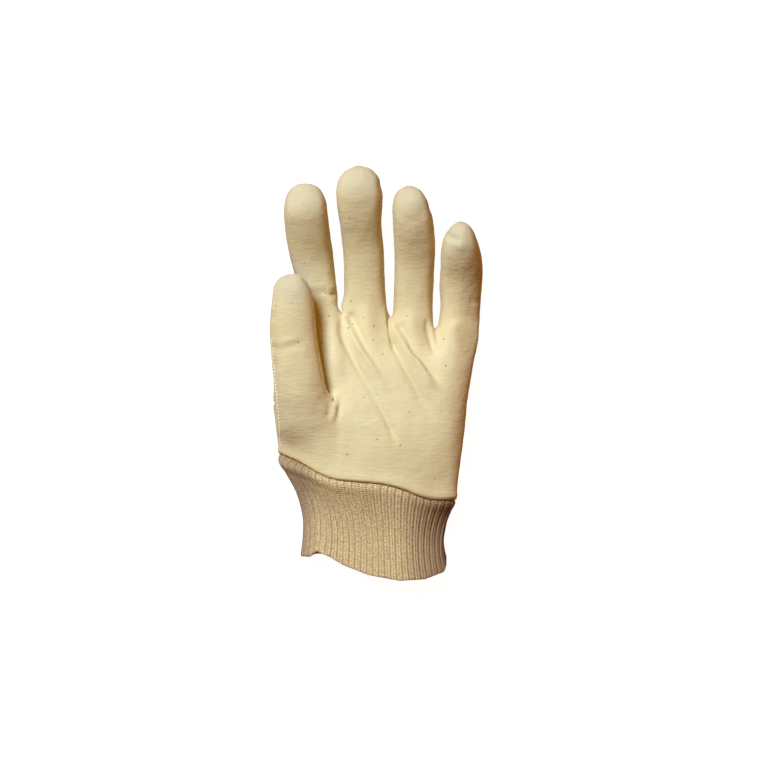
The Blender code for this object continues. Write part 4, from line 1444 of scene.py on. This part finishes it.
def canvas_relief(nodes, place, slubs, warp_slubs):
    """The canvas's bump: threads, slubs and nap, and fine wrinkles over them."""
    normal = nodes.split(nodes.add("ShaderNodeNewGeometry").outputs["Normal"])
    facing_up, facing_side = (nodes.math("ABSOLUTE", normal[axis]) for axis in "ZX")
    # Threads: weft round every digit, warp along it
    weft, front, side = (nodes.bands(place, axis, THREADS_SCALE) for axis in "YXZ")
    warp = nodes.weighed((front, facing_up), (side, facing_side))
    weave = nodes.weighed((weft, 0.6), (warp, 0.4))
    nap = nodes.noise(place, (2600.0, 2600.0, 2600.0), detail=3.0, roughness=0.65)
    height = nodes.weighed((weave, 0.35), (slubs, 0.9), (warp_slubs, 0.35), (nap, 0.35))
    fine = nodes.bump(height, 0.55, 0.00028)
    wrinkles = nodes.noise(place, (170.0, 520.0, 170.0), detail=4.0, roughness=0.65)
    return nodes.bump(wrinkles, 0.45, 0.0009, fine)


def digit_shade_shares(nodes, spot):
    """How far a place is on the fingers or the thumb, which are painted browner than the palm as
    painted shade.
    """
    left = nodes.ramp(spot["X"], -0.034, -0.044)
    thumb = nodes.math("MINIMUM", left, nodes.ramp(spot["Y"], -0.012, 0.010, 0.0, 0.90))
    # The fingers start lower toward the little finger
    outward = nodes.math("MAXIMUM", spot["X"], 0.0)
    height = nodes.weighed((spot["Y"], 1.0), (outward, 0.5))
    return nodes.math("MAXIMUM", thumb, nodes.ramp(height, 0.026, 0.052))


def speck_shares(nodes, place):
    """A few small specks of husk, scattered over the cloth."""
    cells = nodes.add("ShaderNodeTexVoronoi", {"Vector": place, "Scale": SPECKS_SCALE})
    mark = nodes.add("ShaderNodeSeparateColor", {"Color": cells.outputs["Color"]})
    chosen = nodes.math("GREATER_THAN", mark.outputs[0], 0.40)
    near = nodes.ramp(cells.outputs["Distance"], 0.055, 0.100, 1.0, 0.0)
    return nodes.times(chosen, near)


def canvas_material():
    material, nodes, shader = cloth_shader("canvas", 0.92, 0.06)
    place = nodes.place()
    spot = nodes.split(place)
    slubs = nodes.noise(place, (260.0, 1200.0, 260.0), detail=4.0, roughness=0.6)
    warp_slubs = nodes.noise(place, (1300.0, 70.0, 160.0))
    nodes.fill(shader.inputs["Normal"], canvas_relief(nodes, place, slubs, warp_slubs))
    # Cream with slow patches, streaks of thread, painted shade that browns the fingers and thumb
    # and darkens the fingertips, and specks
    patches = nodes.ramp(nodes.noise(place, (28.0, 28.0, 28.0), detail=3.0), 0.35, 0.65)
    base = nodes.tint(CREAM, CREAM_PATCH, patches)
    on_fingers = nodes.ramp(spot["Y"], 0.020, 0.060, 0.10, 0.30)
    base = nodes.tint(base, WEFT_STREAK, nodes.ramp(slubs, 0.36, 0.62), on_fingers)
    base = nodes.tint(base, WARP_STREAK, nodes.ramp(warp_slubs, 0.45, 0.70), 0.10)
    # Painted shade: the fingers and the thumb painted browner than the palm
    base = nodes.tint(base, PAINTED_DIGIT_SHADE, digit_shade_shares(nodes, spot), 0.35)
    # Painted shade: the fingertips painted darker and greyer
    base = nodes.tint(base, PAINTED_TIP_SHADE, tip_shares(nodes, place), 0.50)
    base = nodes.tint(base, HUSK, speck_shares(nodes, place), 0.72)
    nodes.fill(shader.inputs["Base Color"], base)
    return material


def knit_material():
    material, nodes, shader = cloth_shader("knit", 0.95, 0.06)
    place = nodes.place()
    spot = nodes.split(place)
    rib, stitch, _ = nodes.split(nodes.add("ShaderNodeUVMap", uv_map="stitches").outputs[0])
    # Two columns of slanting loops on every rib, and a hole between one loop and the next, painted
    # dark as painted shade
    across = nodes.math("FRACT", nodes.math("ADD", rib, 0.5))
    side = nodes.math("ABSOLUTE", nodes.math("SUBTRACT", across, 0.5))
    slanted = nodes.weighed((stitch, 1.0), (side, 1.3))
    loops = nodes.ramp(nodes.math("SINE", nodes.times(slanted, 2 * math.pi)), -1.0, 1.0)
    edge = nodes.ramp(nodes.math("COSINE", nodes.times(side, 4 * math.pi)), -1.0, 1.0)
    relief = nodes.weighed((loops, 1.0), (edge, -0.8))
    fuzz = nodes.noise(place, (1500.0, 1500.0, 1500.0), detail=3.0, roughness=0.7)
    height = nodes.weighed((relief, 1.0), (fuzz, 0.8))
    nodes.fill(shader.inputs["Normal"], nodes.bump(height, 0.85, 0.0006))
    mottle = nodes.noise(place, (750.0, 750.0, 750.0), detail=4.0, roughness=0.8)
    base = nodes.tint(YARN_LIGHT, YARN_DARK, nodes.ramp(mottle, 0.44, 0.56))
    # Painted shade: the holes between loops painted darker
    base = nodes.tint(base, YARN_HOLE_SHADE, nodes.ramp(relief, 0.10, -0.75), 0.50)
    # Painted shade: the furrows between ribs are painted darker toward both sides of the wrist than
    # in its middle, and both sides are painted darker as a whole
    right = nodes.ramp(spot["X"], 0.013, 0.0425)
    left = nodes.times(nodes.ramp(spot["X"], -0.036, -0.047), 0.6)
    outward = nodes.math("MAXIMUM", right, left)
    depth = nodes.math("ADD", nodes.times(outward, 0.5), 0.16)
    base = nodes.tint(base, YARN_FURROW_SHADE, nodes.ramp(side, 0.26, 0.5), depth)
    # Painted shade: both sides of the wrist painted darker
    base = nodes.tint(base, YARN_SIDE_SHADE, outward, 0.90)
    nodes.fill(shader.inputs["Base Color"], base)
    return material


def thread_material():
    material, nodes, shader = cloth_shader("thread", 0.7, 0.1)
    twist = nodes.noise(nodes.place(), (2200.0, 2200.0, 2200.0))
    base = nodes.tint(THREAD_LIGHT, THREAD_DARK, nodes.ramp(twist, 0.35, 0.65))
    nodes.fill(shader.inputs["Base Color"], base)
    nodes.fill(shader.inputs["Normal"], nodes.bump(twist, 0.4, 0.0001))
    return material


def floor_material():
    """A pale floor that glows as a light table does."""
    material, _, shader = cloth_shader("floor", 0.9, 0.0)
    shader.inputs["Base Color"].default_value = FLOOR_GREY
    shader.inputs["Emission Color"].default_value = FLOOR_GLOW
    shader.inputs["Emission Strength"].default_value = FLOOR_GLOW_STRENGTH
    return material


def add_floor():
    bpy.ops.mesh.primitive_plane_add(size=FLOOR_SIZE, location=(0, 0, -FLOOR_DROP))
    floor = bpy.context.object
    floor.name = "floor"
    floor.data.materials.append(floor_material())
    floor.visible_diffuse = False


def add_camera(scene):
    camera = bpy.data.cameras.new("camera")
    camera.sensor_fit = "VERTICAL"
    camera.sensor_height = CAMERA_SENSOR
    camera.lens = CAMERA_LENS
    thing = bpy.data.objects.new("camera", camera)
    thing.location = CAMERA_PLACE
    scene.collection.objects.link(thing)
    scene.camera = thing


def add_key_light(scene):
    light = bpy.data.lights.new("key", "AREA")
    light.shape = "DISK"
    light.size = KEY_SIZE
    light.energy = KEY_ENERGY
    light.color = KEY_COLOUR
    thing = bpy.data.objects.new("key", light)
    thing.location = KEY_PLACE
    backward = Vector(KEY_PLACE) - Vector(KEY_AIM)
    thing.rotation_euler = backward.to_track_quat("Z", "Y").to_euler()
    scene.collection.objects.link(thing)


def add_room(scene):
    """A warm room that lights the glove, while the camera sees a white backdrop."""
    world = bpy.data.worlds.new("studio")
    scene.world = world
    world.use_nodes = True
    nodes = Nodes(world.node_tree)
    warm = world.node_tree.nodes["Background"]
    direction = nodes.split(nodes.add("ShaderNodeTexCoord").outputs["Generated"])
    nodes.fill(warm.inputs["Color"], ROOM_COLOUR)
    nodes.fill(warm.inputs["Strength"], nodes.ramp(direction["Y"], -0.9, 0.9, *ROOM_STRENGTHS))
    white = nodes.add("ShaderNodeBackground", {"Color": (1, 1, 1, 1), "Strength": 1.0})
    seen = nodes.add("ShaderNodeLightPath").outputs["Is Camera Ray"]
    values = {0: seen, 1: warm.outputs[0], 2: white.outputs[0]}
    both = nodes.add("ShaderNodeMixShader", values)
    nodes.fill(world.node_tree.nodes["World Output"].inputs["Surface"], both.outputs[0])


def studio():
    scene = bpy.context.scene
    scene.view_settings.view_transform = "Standard"
    add_floor()
    add_camera(scene)
    add_key_light(scene)
    add_room(scene)


def main():
    canvas, knit = canvas_material(), knit_material()
    points, faces, zones = smooth_surface(build_cage())
    points[:, :2] += FRAME_SHIFT
    points = settle_canvas(curl_fingers(points, faces, zones), faces)
    seams = distance_to(points, seam_marks(points, faces, zones))
    edge = wrist_loop(points, faces)[0]
    edge = np.vstack((edge, (edge + np.roll(edge, 1, axis=0)) / 2))
    points = crease_canvas(points, faces, zones, seams, distance_to(points, edge))
    normals = vertex_normals(points, faces)
    loop, open_points = wrist_loop(points, faces)
    panels = []
    for name, panel_zones in PANELS.items():
        chosen = [face for face, zone in zip(faces, zones) if zone in panel_zones]
        panel = fine_panel("canvas_" + name, points, normals, chosen, open_points, canvas)
        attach(panel, "root")
        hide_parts(name)
        panels.append(panel)
    cuff = knit_wrist(loop, knit)
    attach(cuff, "root")
    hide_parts("knit_cuff")
    stitches = thumb_stitches(panels, thread_material())
    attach(stitches, "root")
    studio()


main()
